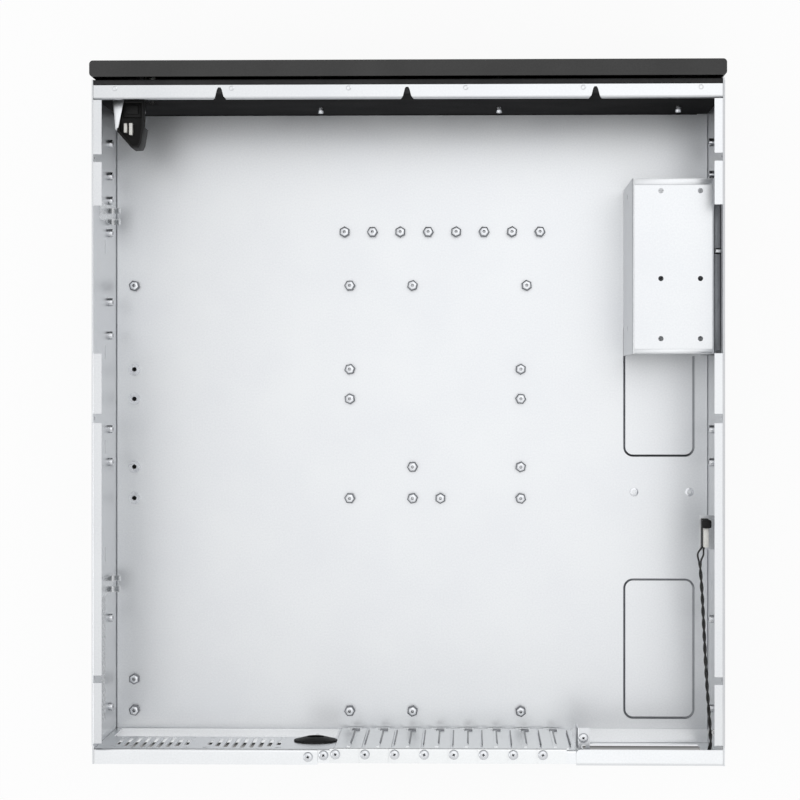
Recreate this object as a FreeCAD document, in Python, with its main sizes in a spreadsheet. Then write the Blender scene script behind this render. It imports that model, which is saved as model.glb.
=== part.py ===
import FreeCAD, Part
import math
import os
import re
import Sketcher

# Empty 3U rackmount server case, shown with its top cover taken off.
# Frame: X across the case, Y from the front (negative) to the rear, Z up.
# The origin is the centre of the base, at the level the case stands on.
# Millimetres throughout.

Vector = FreeCAD.Vector
doc = FreeCAD.newDocument("rackmount_case")

# ------------------------------------------------------------------ driving dimensions
DIMENSIONS = {
    # outer sizes and sheet metal
    "case_width": 434.0,
    "case_depth": 482.0,
    "case_height": 132.0,
    "sheet": 1.2,
    "bend_inside": 0.6,
    "seam": 0.2,
    "foot_flange": 9.0,
    "lid_step": 1.5,
    "lid_overlap": 14.0,
    "rim_reach": 8.5,
    "low_end": 14.0,
    # front panel and front plate
    "panel_depth": 11.0,
    "panel_skin": 2.0,
    "panel_corner": 2.5,
    "panel_gap": 2.0,
    "channel_depth": 10.3,
    "channel_lip": 12.0,
    "panel_fixing_x": 63.5,
    "panel_fixing_z": 49.0,
    "panel_screw": 4.0,
    "panel_boss": 9.0,
    # galvanised rail over the front plate
    "rail_setback": 4.0,
    "rail_width": 9.4,
    "rail_drop": 5.0,
    "notch_pitch": 128.0,
    "notch_mouth": 8.5,
    "notch_head": 3.2,
    "notch_depth": 8.0,
    "rivet_pitch": 79.75,
    "rivet_shank": 3.2,
    "rivet_inset": 2.3,
    # base plate
    "press_width": 51.8,
    "press_inset": 35.6,
    "press_front_length": 100.0,
    "press_past_cage": 23.3,
    "press_rear_length": 102.2,
    "press_rear_margin": 18.2,
    "press_corner": 7.0,
    # rear
    "deck_drop": 14.5,
    "rear_recess": 10.7,
    "split_from_slot": 20.8,
    "wall_split_from_slot": 9.7,
    "slot_margin": 14.26,
    "psu_flange": 11.0,
    "psu_flange_corner": 3.0,
    "psu_opening_width": 84.0,
    "psu_opening_height": 86.0,
    "psu_opening_z": 14.0,
    "psu_hole_rise": 95.0,
    "psu_hole_span": 72.0,
    "bracket_top": 100.0,
    "bracket_height": 24.0,
    "bracket_leaf": 8.8,
    "bracket_length": 20.0,
    "bracket_setback": 13.0,
    "bracket_hole_pitch": 6.2,
    "fixing_hole": 4.3,
    "io_width": 158.75,
    "io_height": 44.45,
    "io_bottom": 8.0,
    "fan_pitch": 64.0,
    "fan_from_board": 55.8,
    "fan_drop": 33.5,
    "fan_radius": 27.0,
    "fan_hole_span": 50.0,
    "fan_slot": 3.0,
    "fan_slot_pitch": 6.0,
    "plug_from_split": 3.8,
    "plug_z": 75.0,
    "plug_hole": 26.0,
    "plug_head": 30.0,
    "plug_head_height": 4.0,
    "plug_barrel": 4.2,
    # expansion slots
    "slot_pitch": 20.32,
    "slot_from_board": 161.3,
    "slot_deck_short": 1.2,
    "slot_opening_width": 13.0,
    "slot_opening_bottom": 16.0,
    "slot_opening_height": 90.0,
    "cover_sheet": 0.9,
    "cover_gap": 1.92,
    "cover_bottom": 5.0,
    "cover_tab_left": 7.6,
    "cover_tab_gap": 0.12,
    "cover_tongue": 10.2,
    "cover_tongue_height": 5.0,
    "cover_window_width": 6.2,
    "cover_window_z": 11.0,
    "cover_window_height": 8.0,
    "cover_rib_width": 2.2,
    "cover_rib_height": 0.6,
    "cover_screw_x": 8.6,
    "cover_screw_y": 3.3,
    "screw_shank": 3.0,
    # board hardware on the base
    "board_inset": 13.5,
    "board_rear": 13.1,
    "stud_across": 7.0,
    "stud_height": 6.5,
    "stud_bore": 3.0,
    "boss_diameter": 8.5,
    "boss_height": 4.0,
    "boss_bore": 3.3,
    # side walls
    "nut_z": 45.0,
    "nut_bore": 3.4,
    "wall_slot_length": 11.0,
    "wall_slot_width": 3.5,
    "wall_slot_z": 62.0,
    "vent_cell": 5.0,
    "vent_pitch": 6.4,
    "vent_bottom": 64.0,
    "vent_rear_margin": 25.0,
    "clip_front": 99.5,
    "clip_rear": 118.0,
    "clip_width": 12.0,
    "clip_sheet": 0.8,
    "clip_top": 92.0,
    "clip_foot": 30.0,
    "clip_reach": 6.0,
    # drive cage
    "cage_gap": 5.1,
    "cage_width": 56.3,
    "cage_setback": 79.3,
    "cage_length": 120.4,
    "cage_top": 109.0,
    "cage_sheet": 1.0,
    "cage_lip": 9.0,
    "cage_hole": 3.6,
    "cage_hole_pitch": 27.1,
    "cage_hole_inset_x": 9.7,
    "cage_hole_first": 8.6,
    "cage_side_hole_z": 52.0,
    "cage_foot_hole": 7.5,
    "cage_foot_front": 20.0,
    "cage_foot_rear": 40.0,
    "drive_hole_near": 60.3,
    "drive_hole_far": 101.6,
    # control module at the front corner
    "module_inset": 28.8,
    "module_drop": 18.0,
    "module_height": 52.0,
    "control_offset": 2.8,
    "button_diameter": 12.0,
    "button_drop": 12.0,
    "reset_diameter": 5.0,
    "reset_offset": 1.2,
    "reset_drop": 25.0,
    "button_travel": 1.5,
    "button_clearance": 0.3,
    "button_recess": 0.3,
    "button_stem": 4.0,
    "button_collar": 1.2,
    "led_offset": 8.4,
    "led_diameter": 3.0,
    "led_pitch": 6.0,
    "usb_width": 13.1,
    "usb_height": 5.6,
    "usb_length": 14.0,
    "usb_drop": 35.4,
    "usb_pitch": 10.0,
    "board_sheet": 1.6,
    "board_gap": 4.0,
    # cover switch and its cable
    "switch_inset": 11.1,
    "switch_setback": 168.5,
    "switch_width": 4.8,
    "switch_length": 19.5,
    "switch_drop": 26.0,
    "switch_front_height": 9.0,
    "switch_back_height": 16.0,
    "plunger_width": 6.6,
    "plunger_length": 5.5,
    "plunger_height": 8.0,
    "plunger_travel": 2.0,
    "plunger_stem": 2.6,
    "cable_diameter": 2.6,
}

# ------------------------------------------------------------------ places that follow from them
# Each is a formula in the sheet: the wall, corner or edge it is measured from, and a size above.
PLACES = {
    # across the case
    "inner_face": "case_width / 2 - sheet",
    "board_x": "inner_face - board_inset",
    "slot_first_x": "board_x - slot_from_board",
    "split_x": "slot_first_x + split_from_slot",
    "wall_split_x": "slot_first_x + wall_split_from_slot",
    "psu_edge_x": "slot_first_x - 7 * slot_pitch - slot_margin",
    "fan_x": "board_x - fan_from_board",
    "plug_x": "split_x + plug_from_split",
    "cover_width": "slot_pitch - cover_gap",
    "cover_tab_right": "slot_pitch - cover_tab_left - cover_tab_gap",
    "press_x": "press_inset - inner_face",
    "cage_outer_x": "cage_gap - inner_face",
    "cage_inner_x": "cage_outer_x + cage_width",
    "module_x": "inner_face - module_inset",
    "control_x": "module_x - control_offset",
    "reset_x": "module_x + reset_offset",
    "led_x": "module_x - led_offset",
    "switch_x": "switch_inset - inner_face",
    # front to rear
    "cage_front_y": "cage_setback - case_depth / 2",
    "press_front_y": "cage_front_y + cage_length + press_past_cage",
    "switch_y": "case_depth / 2 - switch_setback",
    # up from the base
    "deck_height": "case_height - deck_drop",
    "fan_z": "deck_height - fan_drop",
    "module_top": "case_height - module_drop",
    "module_bottom": "module_top - module_height",
    "button_z": "module_top - button_drop",
    "reset_z": "module_top - reset_drop",
    "usb_z": "module_top - usb_drop",
    "switch_step": "case_height - switch_drop",
    "switch_bottom": "switch_step - switch_front_height",
    "switch_top": "switch_bottom + switch_back_height",
}

sheet_object = doc.addObject("Spreadsheet::Sheet", "Sizes")
cells = {name: str(number) for name, number in DIMENSIONS.items()}
cells.update({name: "=" + formula for name, formula in PLACES.items()})
for row, (alias, text) in enumerate(cells.items(), 1):
    sheet_object.set(f"A{row}", alias)
    sheet_object.set(f"B{row}", text)
    sheet_object.setAlias(f"B{row}", alias)
doc.recompute()

ALIAS = re.compile(r"\b(" + "|".join(cells) + r")\b")

# Places that several pieces share, written in the names of the sheet.
WALL = "(case_width / 2)"
INNER = "(case_width / 2 - sheet)"
BETWEEN = "(case_width / 2 - sheet - seam)"
RIM_INNER = "(case_width / 2 - lid_step - sheet)"
FRONT = "(0 - case_depth / 2)"
REAR = "(case_depth / 2)"
PANEL_BACK = "(panel_depth - case_depth / 2)"
LIP = "(panel_depth + panel_gap - case_depth / 2)"
PLATE_BACK = "(panel_depth + panel_gap + channel_depth - case_depth / 2)"
PLATE_FRONT = "(panel_depth + panel_gap + channel_depth - sheet - case_depth / 2)"
PLATE_TOP = "(case_height - sheet)"
RAIL_FRONT = "(panel_depth + panel_gap + rail_setback - case_depth / 2)"
RAIL_BACK = "(panel_depth + panel_gap + rail_setback + rail_width - case_depth / 2)"
FLOOR = "(2 * sheet)"
BEND_OUTSIDE = "(bend_inside + sheet)"
REAR_WALL = "(case_depth / 2 - rear_recess)"
BOARD_Y = "(case_depth / 2 - rear_recess - board_rear)"
INCH = 25.4


# ------------------------------------------------------------------ small helpers
def bound(text):
    """An expression with the sheet's name put before each of its aliases."""
    return ALIAS.sub(r"Sizes.\1", str(text))


def size(text):
    """The present value of an expression."""
    return float(sheet_object.evalExpression(bound(text)))


def new_body(label):
    body = doc.addObject("PartDesign::Body", label)
    body.Label = label
    return body


def new_sketch(body, name, plane, offset="0"):
    """A sketch on one of the body's own origin planes, moved along its normal."""
    sketch = body.newObject("Sketcher::SketchObject", f"{body.Label}_{name}")
    origin_plane = [p for p in body.Origin.OriginFeatures if p.Role == plane + "_Plane"][0]
    sketch.AttachmentSupport = [(origin_plane, "")]
    sketch.MapMode = "FlatFace"
    # the XZ plane looks along -Y, so its offset is turned round to be a Y value
    along = f"0 - ({offset})" if plane == "XZ" else offset
    sketch.setExpression("AttachmentOffset.Base.z", bound(along))
    return sketch


def sound(feature):
    """Stop at the first feature whose solid is not valid."""
    doc.recompute()
    if not feature.Shape.isValid():
        raise RuntimeError(feature.Label + " is not a valid solid")
    return feature


def pin(sketch, line, point, x, y):
    """Hold one point of a line or circle at two expressions."""
    for kind, text in (("DistanceX", x), ("DistanceY", y)):
        index = sketch.addConstraint(Sketcher.Constraint(kind, -1, 1, line, point, size(text)))
        sketch.setExpression(f"Constraints[{index}]", bound(text))


def outline(sketch, points):
    """A closed outline of straight lines through points given as expressions."""
    places = [Vector(size(x), size(y), 0) for x, y in points]
    first = sketch.GeometryCount
    count = len(points)
    for i in range(count):
        sketch.addGeometry(Part.LineSegment(places[i], places[(i + 1) % count]))
    for i in range(count):
        after = first + (i + 1) % count
        sketch.addConstraint(Sketcher.Constraint("Coincident", first + i, 2, after, 1))
    for i, (x, y) in enumerate(points):
        pin(sketch, first + i, 1, x, y)


def rectangle(sketch, left, right, bottom, top):
    outline(sketch, [(left, bottom), (right, bottom), (right, top), (left, top)])


def circle(sketch, x, y, diameter):
    centre = Vector(size(x), size(y), 0)
    ring = sketch.addGeometry(Part.Circle(centre, Vector(0, 0, 1), size(diameter) / 2))
    pin(sketch, ring, 3, x, y)
    index = sketch.addConstraint(Sketcher.Constraint("Diameter", ring, size(diameter)))
    sketch.setExpression(f"Constraints[{index}]", bound(diameter))


def hexagon(sketch, x, y, across):
    """A regular hexagon, flats upright, by its width across the flats."""
    half = f"({across}) / 2"
    tip = f"({across}) / sqrt(3)"
    outline(sketch, [
        (f"{x} + {half}", f"{y} - {tip} / 2"), (f"{x} + {half}", f"{y} + {tip} / 2"),
        (x, f"{y} + {tip}"), (f"{x} - {half}", f"{y} + {tip} / 2"),
        (f"{x} - {half}", f"{y} - {tip} / 2"), (x, f"{y} - {tip}")])


def obround(sketch, x, y, length, width):
    """A slot with round ends, lying along the sketch's first axis."""
    reach = f"(({length} - {width}) / 2)"
    radius = size(width) / 2
    left = Vector(size(f"{x} - {reach}"), size(y), 0)
    right = Vector(size(f"{x} + {reach}"), size(y), 0)
    up = Vector(0, radius, 0)
    outward = Vector(radius, 0, 0)
    a = sketch.addGeometry(Part.LineSegment(left - up, right - up))
    b = sketch.addGeometry(Part.Arc(right - up, right + outward, right + up))
    c = sketch.addGeometry(Part.LineSegment(right + up, left + up))
    d = sketch.addGeometry(Part.Arc(left + up, left - outward, left - up))
    for one, two in ((a, b), (b, c), (c, d), (d, a)):
        sketch.addConstraint(Sketcher.Constraint("Tangent", one, 2, two, 1))
    pin(sketch, b, 3, f"{x} + {reach}", y)
    pin(sketch, d, 3, f"{x} - {reach}", y)
    index = sketch.addConstraint(Sketcher.Constraint("Radius", b, radius))
    sketch.setExpression(f"Constraints[{index}]", bound(f"{width} / 2"))


def rounded_rectangle(sketch, left, right, bottom, top, radius):
    """A rectangle with tangent arcs for corners, each arc held by its centre and radius."""
    r = size(radius)
    x0, x1, y0, y1 = (size(v) for v in (left, right, bottom, top))
    lines = [sketch.addGeometry(Part.LineSegment(Vector(*a, 0), Vector(*b, 0))) for a, b in (
        ((x0 + r, y0), (x1 - r, y0)), ((x1, y0 + r), (x1, y1 - r)),
        ((x1 - r, y1), (x0 + r, y1)), ((x0, y1 - r), (x0, y0 + r)))]
    corners = [
        (x1 - r, y0 + r, -1, 0, f"{right} - {radius}", f"{bottom} + {radius}"),
        (x1 - r, y1 - r, 0, 1, f"{right} - {radius}", f"{top} - {radius}"),
        (x0 + r, y1 - r, 1, 2, f"{left} + {radius}", f"{top} - {radius}"),
        (x0 + r, y0 + r, 2, 3, f"{left} + {radius}", f"{bottom} + {radius}")]
    for number, (cx, cy, start, end, x, y) in enumerate(corners):
        ring = Part.Circle(Vector(cx, cy, 0), Vector(0, 0, 1), r)
        quarter = math.pi / 2
        arc = sketch.addGeometry(Part.ArcOfCircle(ring, start * quarter, (start + 1) * quarter))
        after = lines[(number + 1) % 4]
        sketch.addConstraint(Sketcher.Constraint("Tangent", lines[number], 2, arc, 1))
        sketch.addConstraint(Sketcher.Constraint("Tangent", arc, 2, after, 1))
        pin(sketch, arc, 3, x, y)
        index = sketch.addConstraint(Sketcher.Constraint("Radius", arc, r))
        sketch.setExpression(f"Constraints[{index}]", bound(radius))


def pad(body, sketch, length, symmetric=False, reverse=False):
    feature = body.newObject("PartDesign::Pad", sketch.Label + "_pad")
    feature.Profile = sketch
    feature.setExpression("Length", bound(length))
    if symmetric:
        feature.SideType = "Symmetric"
    feature.Reversed = reverse
    return sound(feature)


def pocket(body, sketch, depth=None, reverse=False):
    """Cut the sketch through everything, or to a depth. It must take material away."""
    before = body.Shape.Volume
    feature = body.newObject("PartDesign::Pocket", sketch.Label + "_cut")
    feature.Profile = sketch
    if depth is None:
        feature.Type = "ThroughAll"
        feature.SideType = "Symmetric"
    else:
        feature.setExpression("Length", bound(depth))
        feature.Reversed = reverse
    sound(feature)
    if body.Shape.Volume > before - 1e-3:
        raise RuntimeError(sketch.Label + " cuts nothing")
    return feature


def row_of(body, feature, sketch, axis, pitch, count, reverse=False):
    """Repeat a feature along one axis of its sketch."""
    pattern = body.newObject("PartDesign::LinearPattern", feature.Label + "_row")
    pattern.Originals = [feature]
    pattern.Direction = (sketch, [axis])
    pattern.Reversed = reverse
    pattern.setExpression("Length", bound(f"({pitch}) * {count - 1}"))
    pattern.Occurrences = count
    body.Tip = pattern
    return sound(pattern)


def edges_along(shape, axis, places):
    """Names of the straight edges along an axis that pass through one of the places."""
    others = [i for i in range(3) if i != axis]
    names = []
    for number, edge in enumerate(shape.Edges, 1):
        if edge.Curve.TypeId != "Part::GeomLine" or abs(edge.Curve.Direction[axis]) < 0.999:
            continue
        point = edge.Vertexes[0].Point
        for a, b in places:
            if abs(point[others[0]] - size(a)) < 0.02 and abs(point[others[1]] - size(b)) < 0.02:
                names.append(f"Edge{number}")
    return names


def round_edges(body, axis, places, radius):
    """Round the edges along an axis that pass through the given places."""
    base = body.Tip
    names = edges_along(base.Shape, axis, places)
    if not names:
        raise RuntimeError(body.Label + " has no edge to round")
    feature = body.newObject("PartDesign::Fillet", f"{body.Label}_round")
    feature.Base = (base, names)
    feature.setExpression("Radius", bound(radius))
    return sound(feature)


def discs(label, centres, diameter, start, length, plane="XY"):
    """A body of equal round pieces standing on one plane."""
    body = new_body(label)
    add_discs(body, "disc", centres, diameter, start, length, plane)
    return body


def hexagons(label, centres, across, start, length):
    """A body of equal hexagonal pieces standing on one level."""
    body = new_body(label)
    sketch = new_sketch(body, "hexagon", "XY", start)
    for x, y in centres:
        hexagon(sketch, x, y, across)
    pad(body, sketch, length)
    return body


def add_discs(body, name, centres, diameter, start, length, plane="XY"):
    sketch = new_sketch(body, name, plane, start)
    for x, y in centres:
        circle(sketch, x, y, diameter)
    # the XZ plane looks along -Y, so its pads are turned round to run towards +Y
    return pad(body, sketch, length, reverse=(plane == "XZ"))


def bore(body, name, centres, diameter, plane="XY"):
    sketch = new_sketch(body, name, plane)
    for x, y in centres:
        circle(sketch, x, y, diameter)
    return pocket(body, sketch)


X_AXIS, Y_AXIS, Z_AXIS = 0, 1, 2


# ------------------------------------------------------------------ base plate
def board_place(column, line):
    """A board hole: inches from the first hole, across and towards the front."""
    return f"(board_x - {column * INCH})", f"({BOARD_Y} - {line * INCH})"


STUDS = [board_place(c, r) for c, r in (
    (0, 0.9), (0, 0), (6.2, 0), (8.0, 0), (11.1, 0),
    (6.2, 6.1), (8.0, 6.1), (8.8, 6.1), (11.1, 6.1),
    (8.0, 7.0), (11.1, 7.0), (6.2, 8.95), (11.1, 8.95), (6.2, 9.8), (11.1, 9.8),
    (0, 12.2), (6.2, 12.2), (8.0, 12.2), (11.27, 12.2))]
BOSSES = [board_place(0, r) for r in (6.1, 7.0, 8.95, 9.8)]
CARD_SUPPORTS = [board_place(6.05 + 0.8 * i, 13.737) for i in range(8)]


def floor_plate():
    """Flat sheet over the wall flanges, with two areas pressed down to the ground level."""
    body = new_body("floor_plate")
    plate = new_sketch(body, "plate", "XY", "sheet")
    side = f"({BETWEEN} - bend_inside)"
    rectangle(plate, f"0 - {side}", side, f"{PLATE_BACK} + bend_inside + seam", f"{REAR} - seam")
    pad(body, plate, "sheet")
    rear_y = f"({REAR} - press_rear_margin - press_rear_length / 2)"
    areas = (("press_front_y", "press_front_length"), (rear_y, "press_rear_length"))
    pressed = new_sketch(body, "pressed", "XY")
    hollow = new_sketch(body, "hollow", "XY", FLOOR)
    for y, length in areas:
        for target, grow in ((pressed, "sheet"), (hollow, "0")):
            rounded_rectangle(
                target, f"(press_x - press_width / 2 - {grow})", f"(press_x + press_width / 2 + {grow})",
                f"({y} - {length} / 2 - {grow})", f"({y} + {length} / 2 + {grow})",
                f"(press_corner + {grow})")
    pad(body, pressed, "sheet")
    pocket(body, hollow, "sheet")
    bore(body, "boss_holes", BOSSES, "boss_bore")
    bore(body, "cage_holes", CAGE_FEET, "screw_shank + seam")
    return body


# ------------------------------------------------------------------ side walls
RAIL_NUTS_FRONT = (48.4, 71.6, 89.0, 112.3, 161.7, 185.5)
RAIL_NUTS_REAR = (229.5, 206.1, 94.6, 31.0)
WALL_SLOTS_REAR = (359.0, 284.0, 217.0, 141.0)
# stretches with no rim flange: each end's distance from the front, or from the rear
RIM_GAP_FRONT = (64.0, 69.4)
RIM_GAP_AT_CLIP = (99.0, 282.0)
RIM_GAPS_REAR = ((241.0, 234.6), (62.4, 57.2), (16.0, -1.0))
CLIP_FRONT_Y = "(clip_front - case_depth / 2)"
CLIP_REAR_Y = "(case_depth / 2 - clip_rear)"


def rail_nut_places():
    """Places along the wall of the holes for the slide rails' nuts."""
    front = [f"({d} - case_depth / 2)" for d in RAIL_NUTS_FRONT]
    rear = [f"(case_depth / 2 - {d})" for d in RAIL_NUTS_REAR]
    return [(y, "nut_z") for y in front + rear]


def rim_gaps():
    """Stretches, front to rear, where the wall has no rim flange."""
    at_rail = (f"{LIP} - 1", f"{RAIL_BACK} + 3 * seam")
    front = tuple(f"({d} - case_depth / 2)" for d in RIM_GAP_FRONT)
    start, end = RIM_GAP_AT_CLIP
    at_clip = (f"({start} - case_depth / 2)", f"(case_depth / 2 - {end})")
    rear = [(f"(case_depth / 2 - {a})", f"(case_depth / 2 - {b})") for a, b in RIM_GAPS_REAR]
    return [at_rail, front, at_clip] + rear


def side_wall(label, side):
    """Folded wall: foot under the base plate, step for the cover, rim turned inwards."""
    body = new_body(label)
    step = "(case_height - lid_overlap)"
    turn = "(sheet * 0.414)"
    points = [
        (f"{WALL} - foot_flange", "0"), (WALL, "0"), (WALL, step),
        (f"{WALL} - lid_step", f"{step} + lid_step"), (f"{WALL} - lid_step", "case_height"),
        (f"{WALL} - rim_reach", "case_height"), (f"{WALL} - rim_reach", "case_height - sheet"),
        (RIM_INNER, "case_height - sheet"), (RIM_INNER, f"{step} + lid_step - {turn}"),
        (INNER, f"{step} - {turn}"), (INNER, "sheet"), (f"{WALL} - foot_flange", "sheet")]
    section = new_sketch(body, "section", "XZ", LIP)
    outline(section, [(f"{side} * ({x})", z) for x, z in points])
    pad(body, section, f"{REAR} - {LIP}", reverse=True)
    outer = [(f"{side} * {WALL}", "0"), (f"{side} * ({WALL} - lid_step)", "case_height")]
    inner = [(f"{side} * {INNER}", "sheet"), (f"{side} * {RIM_INNER}", "case_height - sheet")]
    round_edges(body, Y_AXIS, outer, BEND_OUTSIDE)
    round_edges(body, Y_AXIS, inner, "bend_inside")

    gaps = new_sketch(body, "rim_gaps", "XY", "case_height")
    for start, end in rim_gaps():
        rectangle(gaps, f"{side} * ({WALL} - rim_reach - 1)", f"{side} * {RIM_INNER}", start, end)
    pocket(body, gaps, BEND_OUTSIDE)
    # the foot stops short of the front plate, and the rear end is low for the cover's lip
    foot = new_sketch(body, "foot_end", "XY")
    inside = f"{side} * ({WALL} - foot_flange - 1)"
    rectangle(foot, inside, f"{side} * {INNER}", f"{LIP} - 1", f"{PLATE_BACK} + seam")
    pocket(body, foot, BEND_OUTSIDE, reverse=True)
    rear_step = new_sketch(body, "rear_step", "YZ")
    rectangle(rear_step, f"{REAR} - low_end", f"{REAR} + 1", "deck_height", "case_height + 1")
    pocket(body, rear_step)

    holes = new_sketch(body, "holes", "YZ")
    for y, z in rail_nut_places():
        circle(holes, y, z, "nut_bore")
    for d in WALL_SLOTS_REAR:
        obround(holes, f"(case_depth / 2 - {d})", "wall_slot_z", "wall_slot_length", "wall_slot_width")
    pocket(body, holes)
    return body


def perforate(body):
    """Staggered hexagonal vent in the wall: one pair of cells, repeated both ways."""
    cells = new_sketch(body, "vent", "YZ")
    start = "(case_depth / 2 - vent_rear_margin)"
    hexagon(cells, start, "vent_bottom", "vent_cell")
    hexagon(cells, f"({start} - vent_pitch / 2)", "(vent_bottom + vent_pitch * 0.866)", "vent_cell")
    cut = pocket(body, cells)
    columns = body.newObject("PartDesign::LinearPattern", "vent_columns")
    columns.Direction = (cells, ["H_Axis"])
    columns.Reversed = True
    columns.setExpression("Length", bound("vent_pitch * 13"))
    columns.Occurrences = 14
    lines = body.newObject("PartDesign::LinearPattern", "vent_lines")
    lines.Direction = (cells, ["V_Axis"])
    lines.setExpression("Length", bound("vent_pitch * 1.732"))
    lines.Occurrences = 2
    pattern = body.newObject("PartDesign::MultiTransform", "vent_pattern")
    pattern.Originals = [cut]
    pattern.Transformations = [columns, lines]
    body.Tip = pattern
    sound(pattern)


def wall_clip(label, y):
    """Sprung cable clip: a strap down the wall ending in a two-pronged hook."""
    body = new_body(label)
    section = new_sketch(body, "section", "XZ", f"{y} - clip_width / 2")
    hook = "(clip_foot + clip_reach)"
    outline(section, [
        (INNER, "clip_top"), (f"{INNER} - clip_sheet", "clip_top"),
        (f"{INNER} - clip_sheet", f"{hook} - 2"), (f"{INNER} - clip_reach", f"{hook} - 5"),
        (f"{INNER} - clip_reach", f"{hook}"), (f"{INNER} - clip_reach - clip_sheet", hook),
        (f"{INNER} - clip_reach - clip_sheet", f"{hook} - 6"), (f"{INNER} - clip_sheet", f"{hook} - 3.2"),
        (f"{INNER} - clip_sheet", "clip_foot - 2"), (INNER, "clip_foot - 2")])
    pad(body, section, "clip_width", reverse=True)
    gap = new_sketch(body, "fork", "YZ")
    rectangle(gap, f"{y} - clip_width / 6", f"{y} + clip_width / 6", f"{hook} - 7", f"{hook} + 1")
    cut_depth = f"{INNER} - clip_sheet - seam"
    pocket(body, gap, cut_depth, reverse=True)
    return body


# ------------------------------------------------------------------ front
FIXINGS = [(f"({k} * panel_fixing_x)", "panel_fixing_z") for k in (-3, -1, 1, 3)]
RIVETS = [(f"({k} * rivet_pitch / 2)", f"({RAIL_FRONT} + rivet_inset)") for k in (-5, -3, -1, 1, 3, 5)]
LEDS = [("led_x", f"(reset_z + {k} * led_pitch / 2)") for k in (-1, 1)]
SOCKETS = [("control_x", f"(usb_z - {k} * usb_pitch)") for k in (0, 1)]


def front_plate():
    """Black plate: foot under the base plate, wall, and a top flange with a lip."""
    body = new_body("front_plate")
    section = new_sketch(body, "section", "YZ")
    top = PLATE_TOP
    outline(section, [
        (f"{PLATE_BACK} + foot_flange", "0"), (PLATE_FRONT, "0"), (PLATE_FRONT, f"{top} - sheet"),
        (f"{LIP} + sheet", f"{top} - sheet"), (f"{LIP} + sheet", f"{top} - channel_lip"),
        (LIP, f"{top} - channel_lip"), (LIP, top), (PLATE_BACK, top), (PLATE_BACK, "sheet"),
        (f"{PLATE_BACK} + foot_flange", "sheet")])
    pad(body, section, f"2 * {BETWEEN}", symmetric=True)
    round_edges(body, X_AXIS, [(PLATE_FRONT, "0"), (LIP, top), (PLATE_BACK, top)], BEND_OUTSIDE)
    inner = [(PLATE_BACK, "sheet"), (f"{LIP} + sheet", f"{top} - sheet"), (PLATE_FRONT, f"{top} - sheet")]
    round_edges(body, X_AXIS, inner, "bend_inside")
    foot = new_sketch(body, "foot_ends", "XY")
    for side in (1, -1):
        rectangle(foot, f"{side} * ({WALL} - foot_flange - seam)", f"{side} * {WALL}",
                  PLATE_BACK, f"{PLATE_BACK} + foot_flange + 1")
    pocket(body, foot, BEND_OUTSIDE, reverse=True)
    # above the walls' step the plate is as much narrower as the rims are
    ends = new_sketch(body, "rim_ends", "XZ")
    for side in (1, -1):
        rectangle(ends, f"{side} * ({RIM_INNER} - seam)", f"{side} * {WALL}",
                  "case_height - lid_overlap - sheet / 2", "case_height")
    pocket(body, ends)
    bore(body, "rivet_holes", RIVETS, "rivet_shank + seam")
    bore(body, "fixing_holes", FIXINGS, "panel_screw + seam", "XZ")
    controls = new_sketch(body, "controls", "XZ")
    circle(controls, "control_x", "button_z", "button_stem + 4 * button_clearance")
    circle(controls, "reset_x", "reset_z", "button_stem + 4 * button_clearance")
    for x, z in LEDS:
        circle(controls, x, z, "led_diameter + 4 * button_clearance")
    for x, z in SOCKETS:
        rectangle(controls, f"{x} - usb_width / 2 - seam", f"{x} + usb_width / 2 + seam",
                  f"{z} - usb_height / 2 - seam", f"{z} + usb_height / 2 + seam")
    pocket(body, controls)
    return body


def front_top_rail():
    """Galvanised rail on the front plate, with three bell-shaped notches for the cover."""
    body = new_body("front_top_rail")
    section = new_sketch(body, "section", "YZ")
    outline(section, [
        (RAIL_FRONT, PLATE_TOP), (f"{RAIL_BACK} - sheet", PLATE_TOP),
        (f"{RAIL_BACK} - sheet", "case_height - rail_drop"), (RAIL_BACK, "case_height - rail_drop"),
        (RAIL_BACK, "case_height"), (RAIL_FRONT, "case_height")])
    pad(body, section, f"2 * ({RIM_INNER} - seam)", symmetric=True)
    round_edges(body, X_AXIS, [(RAIL_BACK, "case_height")], BEND_OUTSIDE)
    round_edges(body, X_AXIS, [(f"{RAIL_BACK} - sheet", PLATE_TOP)], "bend_inside")
    notch = new_sketch(body, "notches", "XY")
    waist = "(notch_head / 2)"
    for k in (-1, 0, 1):
        x = f"({k} * notch_pitch)"
        shoulder = f"({RAIL_BACK} - notch_depth + notch_head / 2)"
        outline(notch, [
            (f"{x} - notch_mouth / 2", f"{RAIL_BACK} + 1"), (f"{x} - notch_mouth / 2", f"{RAIL_BACK} - 0.4"),
            (f"{x} - notch_mouth / 3", f"{RAIL_BACK} - 1.6"), (f"{x} - {waist}", shoulder),
            (f"{x} - {waist} / 2", f"{shoulder} - {waist} * 0.85"),
            (f"{x} + {waist} / 2", f"{shoulder} - {waist} * 0.85"), (f"{x} + {waist}", shoulder),
            (f"{x} + notch_mouth / 3", f"{RAIL_BACK} - 1.6"),
            (f"{x} + notch_mouth / 2", f"{RAIL_BACK} - 0.4"), (f"{x} + notch_mouth / 2", f"{RAIL_BACK} + 1")])
    pocket(body, notch)
    bore(body, "rivet_holes", RIVETS, "rivet_shank + seam")
    return body


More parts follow.
